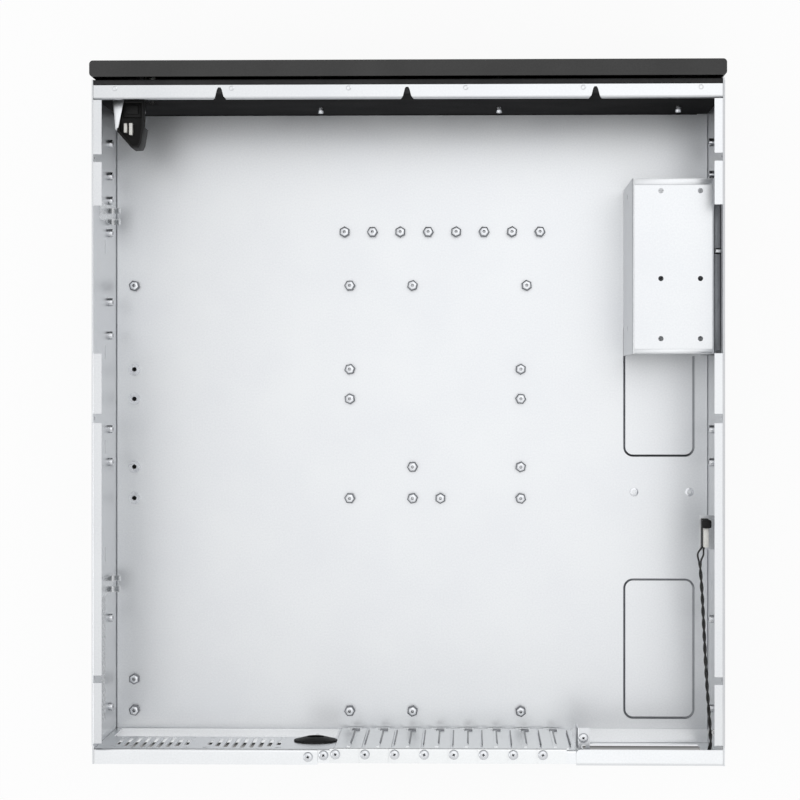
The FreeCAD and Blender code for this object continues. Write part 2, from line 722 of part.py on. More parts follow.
def front_panel():
    """Black front panel: a shallow pan, open behind, with four long bosses."""
    body = new_body("front_panel")
    block = new_sketch(body, "block", "XY")
    rectangle(block, f"0 - {WALL}", WALL, FRONT, PANEL_BACK)
    pad(body, block, "case_height")
    corners = [(f"{s} * {WALL}", y) for s in (1, -1) for y in (FRONT, PANEL_BACK)]
    round_edges(body, Z_AXIS, corners, "panel_corner")
    pan = new_sketch(body, "pan", "XZ", PANEL_BACK)
    reach = f"({WALL} - panel_skin)"
    rectangle(pan, f"0 - {reach}", reach, "panel_skin", "case_height - panel_skin")
    pocket(body, pan, "panel_depth - panel_skin", reverse=True)
    inside = f"({FRONT} + panel_skin)"
    add_discs(body, "bosses", FIXINGS, "panel_boss", inside, f"{PLATE_FRONT} - {inside}", "XZ")
    hole = new_sketch(body, "boss_bores", "XZ", PLATE_FRONT)
    for x, z in FIXINGS:
        circle(hole, x, z, "panel_screw + seam")
    pocket(body, hole, f"{PLATE_FRONT} - {inside} - panel_skin", reverse=True)
    controls = new_sketch(body, "controls", "XZ")
    circle(controls, "control_x", "button_z", "button_diameter + 2 * button_clearance")
    circle(controls, "reset_x", "reset_z", "reset_diameter + 2 * button_clearance")
    for x, z in LEDS:
        circle(controls, x, z, "led_diameter + seam")
    for x, z in SOCKETS:
        rectangle(controls, f"{x} - usb_width / 2 - seam", f"{x} + usb_width / 2 + seam",
                  f"{z} - usb_height / 2 - seam", f"{z} + usb_height / 2 + seam")
    pocket(body, controls)
    return body


# ------------------------------------------------------------------ rear
def channel(body, left, right, depth_end):
    """Recessed rear wall with flanges turned outwards at its foot and its top."""
    section = new_sketch(body, "section", "YZ", left)
    end = depth_end
    outline(section, [
        (REAR_WALL, FLOOR), (end, FLOOR), (end, f"{FLOOR} + sheet"),
        (f"{REAR_WALL} + sheet", f"{FLOOR} + sheet"), (f"{REAR_WALL} + sheet", "deck_height - sheet"),
        (end, "deck_height - sheet"), (end, "deck_height"), (REAR_WALL, "deck_height")])
    pad(body, section, f"({right}) - ({left})")
    round_edges(body, X_AXIS, [(REAR_WALL, FLOOR), (REAR_WALL, "deck_height")], BEND_OUTSIDE)
    inner = [(f"{REAR_WALL} + sheet", f"{FLOOR} + sheet"), (f"{REAR_WALL} + sheet", "deck_height - sheet")]
    round_edges(body, X_AXIS, inner, "bend_inside")


JOINT_HOLES = [("(split_x + 6.6)", f"({REAR_WALL} + 5.3)"), ("(split_x - 4)", f"({REAR_WALL} + 4.1)")]
IO_LEFT = "(board_x + 8.65 - io_width)"


def rear_io_panel():
    """Rear wall with the board's opening, two fan grilles and a plugged round hole."""
    body = new_body("rear_io_panel")
    channel(body, "wall_split_x + seam / 2", BETWEEN, REAR)
    # the flange gives way to the slot frame's own, which carries on over this end
    corner = new_sketch(body, "corner", "XY", "deck_height + 1")
    rectangle(corner, "wall_split_x - 1", "split_x + seam / 2", f"{REAR_WALL} - 1", f"{REAR} + 1")
    pocket(body, corner, f"1 + {BEND_OUTSIDE} + seam")
    openings = new_sketch(body, "openings", "XZ")
    rectangle(openings, IO_LEFT, f"{IO_LEFT} + io_width", "io_bottom", "io_bottom + io_height")
    circle(openings, "plug_x", "plug_z", "plug_hole")
    pocket(body, openings)
    grilles = new_sketch(body, "grilles", "XZ")
    half = "(fan_hole_span / 2)"
    for fan in (-1, 1):
        x = f"(fan_x + {fan} * fan_pitch / 2)"
        for k in range(-4, 5):
            across = f"({k} * fan_slot_pitch)"
            rise = f"sqrt(fan_radius ^ 2 - {across} ^ 2)"
            rectangle(grilles, f"{x} + {across} - fan_slot / 2", f"{x} + {across} + fan_slot / 2",
                      f"fan_z - {rise}", f"fan_z + {rise}")
        for a, b in ((-1, -1), (-1, 1), (1, -1), (1, 1)):
            circle(grilles, f"{x} + {a} * {half}", f"fan_z + {b} * {half}", "fixing_hole")
    pocket(body, grilles)
    bore(body, "joint_hole", JOINT_HOLES[:1], "screw_shank + seam")
    return body


def slot_x(index):
    return f"(slot_first_x - {index} * slot_pitch)"


COVER_HOLES = [(f"({slot_x(k)} + cover_screw_x)", f"({REAR_WALL} + cover_screw_y)") for k in range(8)]


def slot_frame():
    """Rear wall behind the expansion slots: eight openings in a row."""
    body = new_body("slot_frame")
    channel(body, "psu_edge_x + seam", "split_x - seam / 2", f"{REAR} - slot_deck_short")
    overhang = new_sketch(body, "overhang", "XZ")
    rectangle(overhang, "wall_split_x - seam / 2", "split_x + 1", "0", f"deck_height - {BEND_OUTSIDE}")
    pocket(body, overhang)
    openings = new_sketch(body, "openings", "XZ")
    x = slot_x(0)
    rectangle(openings, f"{x} - slot_opening_width / 2", f"{x} + slot_opening_width / 2",
              "slot_opening_bottom", "slot_opening_bottom + slot_opening_height")
    cut = pocket(body, openings)
    row_of(body, cut, openings, "H_Axis", "slot_pitch", 8, reverse=True)
    bore(body, "screw_holes", COVER_HOLES + JOINT_HOLES[1:], "screw_shank + seam")
    return body


def slot_cover(index):
    """Blank slot cover: strip with a tongue, window and rib, and a tab on the flange."""
    body = new_body(f"slot_cover_{index + 1}")
    x = slot_x(index)
    inside = f"({REAR_WALL} - cover_sheet)"
    deck = "(deck_height + cover_sheet)"
    half = "(cover_width / 2)"
    neck = "(deck_height - 2)"
    section = new_sketch(body, "section", "YZ", f"{x} - {half}")
    end = f"({REAR} - slot_deck_short - seam)"
    outline(section, [
        (inside, "cover_bottom"), (REAR_WALL, "cover_bottom"), (REAR_WALL, "deck_height"),
        (end, "deck_height"), (end, deck), (inside, deck)])
    pad(body, section, f"{half} + cover_tab_right")
    round_edges(body, X_AXIS, [(inside, deck)], "cover_sheet + bend_inside / 2")
    trim = new_sketch(body, "trim", "XZ")
    tongue = "(cover_tongue / 2)"
    tongue_top = "(cover_bottom + cover_tongue_height)"
    rectangle(trim, f"{x} + {half}", f"{x} + cover_tab_right + 1", "0", neck)
    rectangle(trim, f"{x} - {half} - 1", f"{x} - cover_tab_left", neck, f"{deck} + 1")
    rectangle(trim, f"{x} - {half} - 1", f"{x} - {tongue}", "cover_bottom - 1", tongue_top)
    rectangle(trim, f"{x} + {tongue}", f"{x} + {half}", "cover_bottom - 1", tongue_top)
    rectangle(trim, f"{x} - cover_window_width / 2", f"{x} + cover_window_width / 2",
              "cover_window_z", "cover_window_z + cover_window_height")
    pocket(body, trim)
    rib = new_sketch(body, "rib", "XZ", inside)
    rectangle(rib, f"{x} - cover_rib_width / 2", f"{x} + cover_rib_width / 2",
              "cover_window_z + cover_window_height + 3", f"{neck} - 4")
    pad(body, rib, "cover_rib_height")
    bore(body, "screw_hole", [COVER_HOLES[index]], "screw_shank + 2 * seam")
    return body


def flange_splice():
    """Small tapped plate under the two rear flanges, which the joint screws pull together."""
    body = new_body("flange_splice")
    plate = new_sketch(body, "plate", "XY", "deck_height - 2 * sheet - 0.4")
    rectangle(plate, "wall_split_x + 2", "split_x + 14", f"{REAR_WALL} + sheet + bend_inside + seam",
              f"{REAR} - slot_deck_short - seam")
    pad(body, plate, "sheet + 0.4")
    bore(body, "threads", JOINT_HOLES, "screw_shank + seam")
    return body


def rear_psu_panel():
    """Rear wall of the power supply bay, flush with the rear, its flanges turned inwards."""
    body = new_body("rear_psu_panel")
    section = new_sketch(body, "section", "YZ", f"0 - {BETWEEN}")
    inward = f"({REAR} - psu_flange)"
    face = f"({REAR} - sheet)"
    outline(section, [
        (inward, FLOOR), (REAR, FLOOR), (REAR, "deck_height"), (inward, "deck_height"),
        (inward, "deck_height - sheet"), (face, "deck_height - sheet"), (face, f"{FLOOR} + sheet"),
        (inward, f"{FLOOR} + sheet")])
    pad(body, section, f"psu_edge_x + {BETWEEN}")
    round_edges(body, X_AXIS, [(REAR, FLOOR), (REAR, "deck_height")], BEND_OUTSIDE)
    inner = [(face, f"{FLOOR} + sheet"), (face, "deck_height - sheet")]
    round_edges(body, X_AXIS, inner, "bend_inside")
    side = new_sketch(body, "return", "XY", f"{FLOOR} + sheet / 2")
    rectangle(side, "psu_edge_x - sheet", "psu_edge_x", f"{inward} + psu_flange_corner", face)
    pad(body, side, f"deck_height - sheet / 2 - {FLOOR} - sheet / 2")
    round_edges(body, Z_AXIS, [("psu_edge_x", inward)], "psu_flange_corner")
    middle = f"((psu_edge_x - {BETWEEN}) / 2)"
    opening = new_sketch(body, "opening", "XZ")
    rectangle(opening, f"{middle} - psu_opening_width / 2", f"{middle} + psu_opening_width / 2",
              "psu_opening_z", "psu_opening_z + psu_opening_height")
    centre_z = "(psu_opening_z + psu_opening_height / 2)"
    for a, b in ((-1, -1), (-1, 1), (1, -1), (1, 1)):
        circle(opening, f"{middle} + {a} * psu_hole_span / 2", f"{centre_z} + {b} * psu_hole_rise / 2",
               "fixing_hole - 2 * seam")
    pocket(body, opening)
    return body


BRACKET_X = "(psu_edge_x - sheet)"
BRACKET_START = f"({REAR_WALL} - bracket_setback)"
BRACKET_HOLES = [(f"({BRACKET_X} - bracket_leaf / 2)", f"({BRACKET_START} + bracket_length / 2 + {k} * bracket_hole_pitch / 2)")
                 for k in (-1, 1)]


def corner_bracket():
    """Angle on the inner corner of the power supply bay, its top leaf flat."""
    body = new_body("corner_bracket")
    section = new_sketch(body, "section", "XZ", BRACKET_START)
    foot = "(bracket_top - bracket_height)"
    outline(section, [
        (BRACKET_X, foot), (BRACKET_X, "bracket_top"), (f"{BRACKET_X} - bracket_leaf", "bracket_top"),
        (f"{BRACKET_X} - bracket_leaf", "bracket_top - sheet"), (f"{BRACKET_X} - sheet", "bracket_top - sheet"),
        (f"{BRACKET_X} - sheet", foot)])
    pad(body, section, "bracket_length", reverse=True)
    round_edges(body, Y_AXIS, [(BRACKET_X, "bracket_top")], BEND_OUTSIDE)
    round_edges(body, Y_AXIS, [(f"{BRACKET_X} - sheet", "bracket_top - sheet")], "bend_inside")
    bore(body, "holes", BRACKET_HOLES, "screw_shank + seam")
    return body


def hole_plug():
    """Snap-in blanking plug: bevelled head inside, barrel through the wall."""
    body = new_body("hole_plug")
    centre = [("plug_x", "plug_z")]
    head = add_discs(body, "head", centre, "plug_head", f"{REAR_WALL} - plug_head_height",
                     "plug_head_height", "XZ")
    front = size(f"{REAR_WALL} - plug_head_height")
    rim = [f"Edge{i}" for i, e in enumerate(head.Shape.Edges, 1)
           if e.Curve.TypeId == "Part::GeomCircle" and abs(e.Vertexes[0].Point.y - front) < 0.01]
    bevel = body.newObject("PartDesign::Chamfer", "hole_plug_bevel")
    bevel.Base = (head, rim)
    bevel.setExpression("Size", bound("plug_head_height * 0.4"))
    sound(bevel)
    add_discs(body, "barrel", centre, "plug_hole - 2 * seam", REAR_WALL, "plug_barrel", "XZ")
    return body


# ------------------------------------------------------------------ drive cage
CAGE_BACK = "(cage_front_y + cage_length)"


def cage_holes():
    first = "(cage_outer_x + cage_hole_inset_x)"
    start = "(cage_front_y + cage_hole_first)"
    return [(f"({first} + {k} * cage_hole_pitch)", f"({start} + {d})")
            for k in (0, 1) for d in ("0", "drive_hole_near", "drive_hole_far")]


def drive_cage():
    """Hood over two drives on edge: three walls, feet turned in, short end lips."""
    body = new_body("drive_cage")
    section = new_sketch(body, "section", "XZ", "cage_front_y")
    t = "cage_sheet"
    outline(section, [
        ("cage_outer_x", FLOOR), ("cage_outer_x", "cage_top"), ("cage_inner_x", "cage_top"),
        ("cage_inner_x", FLOOR), ("cage_inner_x - foot_flange", FLOOR),
        ("cage_inner_x - foot_flange", f"{FLOOR} + {t}"), (f"cage_inner_x - {t}", f"{FLOOR} + {t}"),
        (f"cage_inner_x - {t}", f"cage_top - {t}"), (f"cage_outer_x + {t}", f"cage_top - {t}"),
        (f"cage_outer_x + {t}", f"{FLOOR} + {t}"), ("cage_outer_x + foot_flange", f"{FLOOR} + {t}"),
        ("cage_outer_x + foot_flange", FLOOR)])
    pad(body, section, "cage_length", reverse=True)
    outer = [(x, z) for x in ("cage_outer_x", "cage_inner_x") for z in (FLOOR, "cage_top")]
    round_edges(body, Y_AXIS, outer, f"bend_inside + {t}")
    lips = new_sketch(body, "lips", "XY", f"cage_top - {t} / 2")
    inset = "(4 * cage_sheet)"
    rectangle(lips, f"cage_outer_x + {inset}", f"cage_inner_x - {inset}", "cage_front_y",
              f"cage_front_y + {t}")
    rectangle(lips, f"cage_outer_x + {inset}", f"cage_inner_x - {inset}", f"{CAGE_BACK} - {t}", CAGE_BACK)
    pad(body, lips, "cage_lip", reverse=True)
    bore(body, "drive_holes", cage_holes(), "cage_hole")
    feet = new_sketch(body, "foot_holes", "XY")
    for x, y in CAGE_FEET:
        circle(feet, x, y, "screw_shank + seam")
    pocket(body, feet, f"{FLOOR} + 2 * {t}", reverse=True)
    side_holes = new_sketch(body, "side_holes", "YZ", "cage_inner_x + 1")
    for y in ("(cage_front_y + cage_hole_first)", "(cage_front_y + drive_hole_far)"):
        circle(side_holes, y, "cage_side_hole_z", "cage_hole")
    pocket(body, side_holes, f"{t} + 2")
    return body


CAGE_FEET = [(f"({x})", f"({y})") for x in ("cage_inner_x - cage_foot_hole", "cage_outer_x + cage_foot_hole")
             for y in ("cage_front_y + cage_foot_front", f"{CAGE_BACK} - cage_foot_rear")]


# ------------------------------------------------------------------ control module
def module_bracket():
    """Tapering plate that carries the control module behind the front plate."""
    body = new_body("module_bracket")
    plate = new_sketch(body, "plate", "XY", "module_bottom + 6")
    rear = f"({PLATE_BACK} + 23)"
    outline(plate, [
        ("module_x + 14.4", f"{PLATE_BACK}"), ("module_x + 14.4", f"{PLATE_BACK} + 4"),
        ("module_x + 11.4", rear), ("module_x + 11.4 - sheet", rear),
        ("module_x + 11.6", f"{PLATE_BACK} + 2"), ("module_x + 8", f"{PLATE_BACK} + sheet"),
        ("module_x + 8", f"{PLATE_BACK}")])
    pad(body, plate, "module_top - module_bottom")
    return body


def module_housing():
    """Moulded carrier behind the controls, open towards them, with a skewed back."""
    body = new_body("module_housing")
    block = new_sketch(body, "block", "XY", "module_bottom")
    front = f"({PLATE_BACK} + 2)"
    outline(block, [
        ("module_x + 7.6", front), ("module_x - 13", front), ("module_x - 13", f"{PLATE_BACK} + 21"),
        ("module_x - 8.4", f"{PLATE_BACK} + 39.5"), ("module_x + 1", f"{PLATE_BACK} + 39.5"),
        ("module_x + 9.6", f"{PLATE_BACK} + 24")])
    pad(body, block, "module_top - module_bottom")
    hollow = new_sketch(body, "hollow", "XY", "module_top - 2")
    outline(hollow, [
        ("module_x + 5.4", f"{front} - 1"), ("module_x - 11", f"{front} - 1"),
        ("module_x - 11", f"{PLATE_BACK} + 20.5"), ("module_x - 6.8", f"{PLATE_BACK} + 37.5"),
        ("module_x", f"{PLATE_BACK} + 37.5"), ("module_x + 7.4", f"{PLATE_BACK} + 23.5")])
    pocket(body, hollow, "module_top - module_bottom - 4")
    return body


def control_board():
    """Small circuit board held in the housing, behind the buttons and sockets."""
    body = new_body("control_board")
    board = new_sketch(body, "board", "XY", "module_bottom + 2")
    back = f"({PLATE_BACK} + board_gap + usb_length)"
    rectangle(board, "module_x - 11", "module_x + 5.2", back, f"{back} + board_sheet")
    pad(body, board, "module_top - module_bottom - 4")
    return body


def usb_sockets():
    """Two sockets: shells from the board to the panel's face, hollow to their mouths."""
    body = new_body("usb_sockets")
    start = f"({FRONT} + button_recess)"
    end = f"({PLATE_BACK} + board_gap + usb_length)"
    shells = new_sketch(body, "shells", "XZ", start)
    mouths = new_sketch(body, "mouths", "XZ", start)
    for x, z in SOCKETS:
        for sketch, skin in ((shells, "0"), (mouths, "0.6")):
            rectangle(sketch, f"{x} - usb_width / 2 + {skin}", f"{x} + usb_width / 2 - {skin}",
                      f"{z} - usb_height / 2 + {skin}", f"{z} + usb_height / 2 - {skin}")
    pad(body, shells, f"{end} - {start}", reverse=True)
    pocket(body, mouths, "usb_length")
    return body


def press_button(label, x, z, diameter):
    """Round button: cap in the panel, collar behind it, stem back to the board."""
    body = new_body(label)
    centre = [(x, z)]
    face = f"({FRONT} + button_recess)"
    collar = f"({PANEL_BACK} - panel_depth + panel_skin + button_clearance)"
    add_discs(body, "cap", centre, diameter, face, f"{collar} - {face} + 0.1", "XZ")
    add_discs(body, "collar", centre, f"{diameter} + 2", collar, "button_collar", "XZ")
    end = f"({PLATE_BACK} + board_gap + usb_length - button_travel - 2 * button_clearance)"
    add_discs(body, "stem", centre, "button_stem", f"{collar} + 0.1", f"{end} - {collar} - 0.1", "XZ")
    return body


def led_lenses():
    """Two light pipes from the board to the panel's face."""
    start = f"({FRONT} + button_recess)"
    end = f"({PLATE_BACK} + board_gap + usb_length)"
    return discs("led_lenses", LEDS, "led_diameter", start, f"{end} - {start}", "XZ")


# ------------------------------------------------------------------ cover switch
SWITCH_BACK = "(switch_y + switch_length)"


def switch_bracket():
    """Thin angle on the wall under the cover switch."""
    body = new_body("switch_bracket")
    section = new_sketch(body, "section", "XZ", "switch_y - 2")
    inside = f"(0 - {INNER})"
    outline(section, [
        (inside, "switch_bottom - 24"), (inside, "switch_bottom"),
        ("switch_x + switch_width / 2 + 1", "switch_bottom"),
        ("switch_x + switch_width / 2 + 1", "switch_bottom - 1"),
        (f"{inside} + 1", "switch_bottom - 1"), (f"{inside} + 1", "switch_bottom - 24")])
    pad(body, section, "switch_length + 4", reverse=True)
    return body


def switch_body():
    """Moulded switch: a low front that guides the plunger, a high back with the terminals."""
    body = new_body("switch_body")
    section = new_sketch(body, "section", "YZ", "switch_x - switch_width / 2")
    outline(section, [
        ("switch_y", "switch_bottom"), (SWITCH_BACK, "switch_bottom"), (SWITCH_BACK, "switch_top"),
        ("switch_y + plunger_length + 1.2", "switch_top"),
        ("switch_y + plunger_length + 1.2", "switch_step"), ("switch_y", "switch_step")])
    pad(body, section, "switch_width")
    guide = new_sketch(body, "guide", "XY", "switch_step")
    half = "(plunger_stem / 2 + button_clearance)"
    middle = "(switch_y + plunger_length / 2 + 0.4)"
    rectangle(guide, f"switch_x - {half}", f"switch_x + {half}", f"{middle} - {half}", f"{middle} + {half}")
    pocket(body, guide, "switch_step - switch_bottom - 2")
    return body


def switch_plunger():
    """Cap that the cover presses down, with a square stem in the switch."""
    body = new_body("switch_plunger")
    rest = "(switch_step + plunger_travel + button_clearance)"
    middle = "(switch_y + plunger_length / 2 + 0.4)"
    cap = new_sketch(body, "cap", "XY", rest)
    rectangle(cap, "switch_x - plunger_width / 2", "switch_x + plunger_width / 2",
              f"{middle} - plunger_length / 2", f"{middle} + plunger_length / 2")
    pad(body, cap, "plunger_height")
    corners = [(f"(switch_x + {a} * plunger_width / 2)", f"({middle} + {b} * plunger_length / 2)")
               for a, b in ((-1, -1), (-1, 1), (1, -1), (1, 1))]
    round_edges(body, Z_AXIS, corners, "button_clearance * 3")
    stem = new_sketch(body, "stem", "XY", rest)
    half = "(plunger_stem / 2)"
    rectangle(stem, f"switch_x - {half}", f"switch_x + {half}", f"{middle} - {half}", f"{middle} + {half}")
    pad(body, stem, "plunger_travel + button_clearance + 4", reverse=True)
    return body


# The cable's route, chosen point by point: out of the switch, back along the wall, and
# round under the rear flange to its connector.
CABLE_ROUTE = [
    (-204.7, 92.0, 101.0), (-204.7, 99.0, 101.0), (-203.2, 109.0, 100.2), (-201.6, 124.0, 99.6),
    (-201.6, 146.0, 99.4), (-203.3, 174.0, 99.8), (-205.6, 200.0, 100.4), (-207.1, 216.0, 100.8),
    (-207.3, 227.0, 101.0), (-203.4, 235.0, 101.4), (-194.5, 237.2, 102.0), (-180.5, 236.6, 102.3),
    (-168.0, 236.6, 102.3)]


# where its two clips hold it
WALL_CLIP_PLACE = ("(0 - 207.2)", "220", "100.9")
REAR_CLIP_PLACE = ("(0 - 176)", "236.6", "102.3")


def rounded_path(points, share=0.45):
    """Straight runs joined by tangent arcs, each as large as its two runs allow."""
    edges = []
    here = points[0]
    for before, corner, after in zip(points, points[1:], points[2:]):
        back = (before - corner)
        ahead = (after - corner)
        cut = share * min(back.Length, ahead.Length)
        back.normalize()
        ahead.normalize()
        turn = back.negative().getAngle(ahead)
        start = corner + back * cut
        end = corner + ahead * cut
        radius = cut / math.tan(turn / 2)
        middle_line = (back + ahead)
        middle_line.normalize()
        centre_gap = (radius ** 2 + cut ** 2) ** 0.5 - radius
        edges.append(Part.LineSegment(here, start).toShape())
        edges.append(Part.Arc(start, corner + middle_line * centre_gap, end).toShape())
        print(f"cable turn radius {radius:.1f}")
        here = end
    edges.append(Part.LineSegment(here, points[-1]).toShape())
    return Part.Wire(edges)


def switch_cable():
    points = [Vector(*p) for p in CABLE_ROUTE]
    path = rounded_path(points)
    radius = size("cable_diameter / 2")
    first = (points[1] - points[0])
    first.normalize()
    ring = Part.Wire([Part.Circle(points[0], first, radius).toShape()])
    tube = path.makePipeShell([ring], True, False)
    area = math.pi * radius ** 2
    print(f"cable length {path.Length:.1f}, volume ratio {tube.Volume / (area * path.Length):.4f}")
    feature = doc.addObject("Part::Feature", "switch_cable")
    feature.Label = "switch_cable"
    feature.Shape = tube
    feature.Placement = FreeCAD.Placement()
    return feature


def cable_connector():
    """Two-pin plug at the cable's end."""
    body = new_body("cable_connector")
    x, y, z = CABLE_ROUTE[-1]
    block = new_sketch(body, "block", "YZ", str(x))
    rectangle(block, f"{y} - 1.6", f"{y} + 1.6", f"{z} - 2.6", f"{z} + 2.6")
    pad(body, block, "14")
    return body


def cable_clip(label, x, y, z, plane):
    """Wire clip: a ring round the cable on a flat foot."""
    body = new_body(label)
    if plane == "XZ":
        ring = new_sketch(body, "ring", "XZ", f"{y} - 2")
        circle(ring, x, z, "cable_diameter + 3")
        pad(body, ring, "4", reverse=True)
        foot = new_sketch(body, "foot", "XZ", f"{y} - 2")
        rectangle(foot, f"0 - {INNER}", f"{x} - 1.6", f"{z} - 1.6", f"{z} + 1.6")
        pad(body, foot, "4", reverse=True)
        hole = new_sketch(body, "hole", "XZ")
        circle(hole, x, z, "cable_diameter + 2 * button_clearance")
        pocket(body, hole)
        return body
    ring = new_sketch(body, "ring", "YZ", f"{x} - 2")
    circle(ring, y, z, "cable_diameter + 3")
    pad(body, ring, "4")
    foot = new_sketch(body, "foot", "YZ", f"{x} - 2")
    rectangle(foot, f"{y} + 1.6", f"{REAR} - sheet", f"{z} - 1.6", f"{z} + 1.6")
    pad(body, foot, "4")
    hole = new_sketch(body, "hole", "YZ")
    circle(hole, y, z, "cable_diameter + 2 * button_clearance")
    pocket(body, hole)
    return body


# ------------------------------------------------------------------ build
floor_plate()
right_wall = side_wall("right_side_wall", 1)
perforate(right_wall)
side_wall("left_side_wall", -1)
wall_clip("wall_clip_front", CLIP_FRONT_Y)
wall_clip("wall_clip_rear", CLIP_REAR_Y)

studs = hexagons("board_standoffs", STUDS, "stud_across", FLOOR, "stud_height")
bore(studs, "threads", STUDS, "stud_bore")
bosses = discs("board_bosses", BOSSES, "boss_diameter", FLOOR, "boss_height")
bore(bosses, "threads", BOSSES, "boss_bore")
supports = hexagons("card_support_standoffs", CARD_SUPPORTS, "stud_across", FLOOR, "stud_height")
bore(supports, "threads", CARD_SUPPORTS, "stud_bore")

front_plate()
front_top_rail()
front_panel()

rear_io_panel()
slot_frame()
for number in range(8):
    slot_cover(number)
flange_splice()
rear_psu_panel()
corner_bracket()
hole_plug()

drive_cage()

module_bracket()
module_housing()
control_board()
usb_sockets()
press_button("power_button", "control_x", "button_z", "button_diameter")
press_button("reset_button", "reset_x", "reset_z", "reset_diameter")
led_lenses()

switch_bracket()
switch_body()
switch_plunger()
switch_cable()
cable_connector()
cable_clip("cable_clip_wall", *WALL_CLIP_PLACE, "XZ")
cable_clip("cable_clip_rear", *REAR_CLIP_PLACE, "YZ")

# ------------------------------------------------------------------ check and write
doc.recompute()
for item in doc.Objects:
    if "Invalid" in item.State or "Error" in item.State:
        raise RuntimeError(item.Label + " failed")
os.makedirs("parts", exist_ok=True)
pieces = [o for o in doc.Objects if o.TypeId in ("PartDesign::Body", "Part::Feature")]
for piece in pieces:
    if piece.Shape.isNull() or not piece.Shape.isValid():
        raise RuntimeError(piece.Label + " has no sound shape")
for piece in pieces:
    piece.Shape.exportStep(f"parts/{piece.Label}.step")
print(len(pieces), "nodes written")
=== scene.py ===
# %% [markdown]
# # An empty rackmount server case, seen from above
# The case is folded from thin zinc-coated steel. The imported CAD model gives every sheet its
# exact shape, so this script adds what makes metal look real: finishes, small fasteners, a
# twisted cable, light and a camera.

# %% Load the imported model
import math

import bmesh
import bpy
import numpy as np
from mathutils import Matrix, Vector


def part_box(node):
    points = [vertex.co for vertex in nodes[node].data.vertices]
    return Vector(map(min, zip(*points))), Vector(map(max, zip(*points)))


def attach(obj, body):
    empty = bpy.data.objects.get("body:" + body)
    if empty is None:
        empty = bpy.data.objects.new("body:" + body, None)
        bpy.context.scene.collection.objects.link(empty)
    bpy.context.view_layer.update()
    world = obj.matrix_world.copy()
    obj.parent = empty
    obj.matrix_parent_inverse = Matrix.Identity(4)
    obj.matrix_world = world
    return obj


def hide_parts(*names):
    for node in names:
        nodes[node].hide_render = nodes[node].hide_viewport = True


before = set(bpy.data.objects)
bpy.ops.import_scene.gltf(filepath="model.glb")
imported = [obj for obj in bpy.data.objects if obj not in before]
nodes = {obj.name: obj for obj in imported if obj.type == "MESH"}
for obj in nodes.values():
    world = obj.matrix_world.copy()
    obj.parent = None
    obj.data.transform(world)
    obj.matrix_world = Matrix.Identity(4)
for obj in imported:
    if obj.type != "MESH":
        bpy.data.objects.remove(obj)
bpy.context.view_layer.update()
MM = 0.001
print("nodes", len(nodes))

# %% [markdown]
# ## Camera
# The case is looked at from almost two metres straight above, with the front panel at the top
# of the picture. A long lens keeps the walls nearly upright. The camera leans by a degree, so
# the inside of one wall shows more than the other.

# %% Camera
CAMERA_PLACE = (-0.0427, -0.0097, 1.9049)
CAMERA_TURN = (-0.0002, 0.0268, 3.1416)
FOCAL_IN_WIDTHS = 3.2597

camera_data = bpy.data.cameras.new("camera")
camera_data.sensor_width = 36
camera_data.lens = 36 * FOCAL_IN_WIDTHS
camera = bpy.data.objects.new("camera", camera_data)
camera.location = CAMERA_PLACE
camera.rotation_euler = CAMERA_TURN
bpy.context.scene.collection.objects.link(camera)
bpy.context.scene.camera = camera
print("lens", round(camera_data.lens, 1), "mm")

# %% [markdown]
# ## Cover switch cable
# Two thin insulated wires are twisted together and run from the switch along the wall to a
# connector behind the rear flange. One smooth NURBS line gives the route. Each wire is then
# a tube that winds round points read from that line, half a turn away from the other wire.

# %% Route of the cable
CABLE_WIDTH = 2.6 * MM
CABLE_TURN = 17 * MM
ROUTE = [
    (-203.6, 92.0, 101.0), (-201.3, 97.0, 101.0), (-201.4, 105.0, 100.4), (-202.3, 114.0, 99.8),
    (-203.4, 132.0, 99.6), (-204.7, 160.0, 99.8), (-206.2, 188.0, 100.2), (-207.7, 208.0, 100.8),
    (-208.5, 220.0, 101.0), (-208.8, 230.5, 101.2), (-204.5, 236.6, 101.6),
    (-194.5, 237.2, 102.0), (-180.5, 236.6, 102.3), (-168.0, 236.6, 102.3)]


def route_points(name, points):
    """Points along the smooth NURBS line through a route, read from a curve with no bevel."""
    curve = bpy.data.curves.new(name, "CURVE")
    curve.dimensions = "3D"
    curve.resolution_u = 24
    spline = curve.splines.new("NURBS")
    spline.points.add(len(points) - 1)
    for place, point in zip(points, spline.points):
        point.co = (*[v * MM for v in place], 1)
    spline.order_u = 3
    spline.use_endpoint_u = True
    line = bpy.data.objects.new(name, curve)
    bpy.context.scene.collection.objects.link(line)
    bpy.context.view_layer.update()
    mesh = bpy.data.meshes.new_from_object(line)
    path = [v.co.copy() for v in mesh.vertices]
    bpy.data.objects.remove(line)
    bpy.data.meshes.remove(mesh)
    return path


cable_path = route_points("cable_route", ROUTE)

# %% Twisted wires
def resample(path, step):
    """Points at equal steps along a path, its two ends kept."""
    lengths = [0.0]
    for a, b in zip(path, path[1:]):
        lengths.append(lengths[-1] + (b - a).length)
    count = max(2, round(lengths[-1] / step))
    marks = [lengths[-1] * i / count for i in range(count + 1)]
    places = np.array([tuple(p) for p in path])
    return [Vector([np.interp(m, lengths, places[:, k]) for k in range(3)]) for m in marks]


def frames_along(path):
    """At each point of a path: the direction and two cross directions that do not spin."""
    side = Vector((0, 0, 1))
    result = []
    for i, point in enumerate(path):
        ahead = (path[min(i + 1, len(path) - 1)] - path[max(i - 1, 0)]).normalized()
        side = (side - ahead * side.dot(ahead)).normalized()
        result.append((point, ahead, side, ahead.cross(side)))
    return result


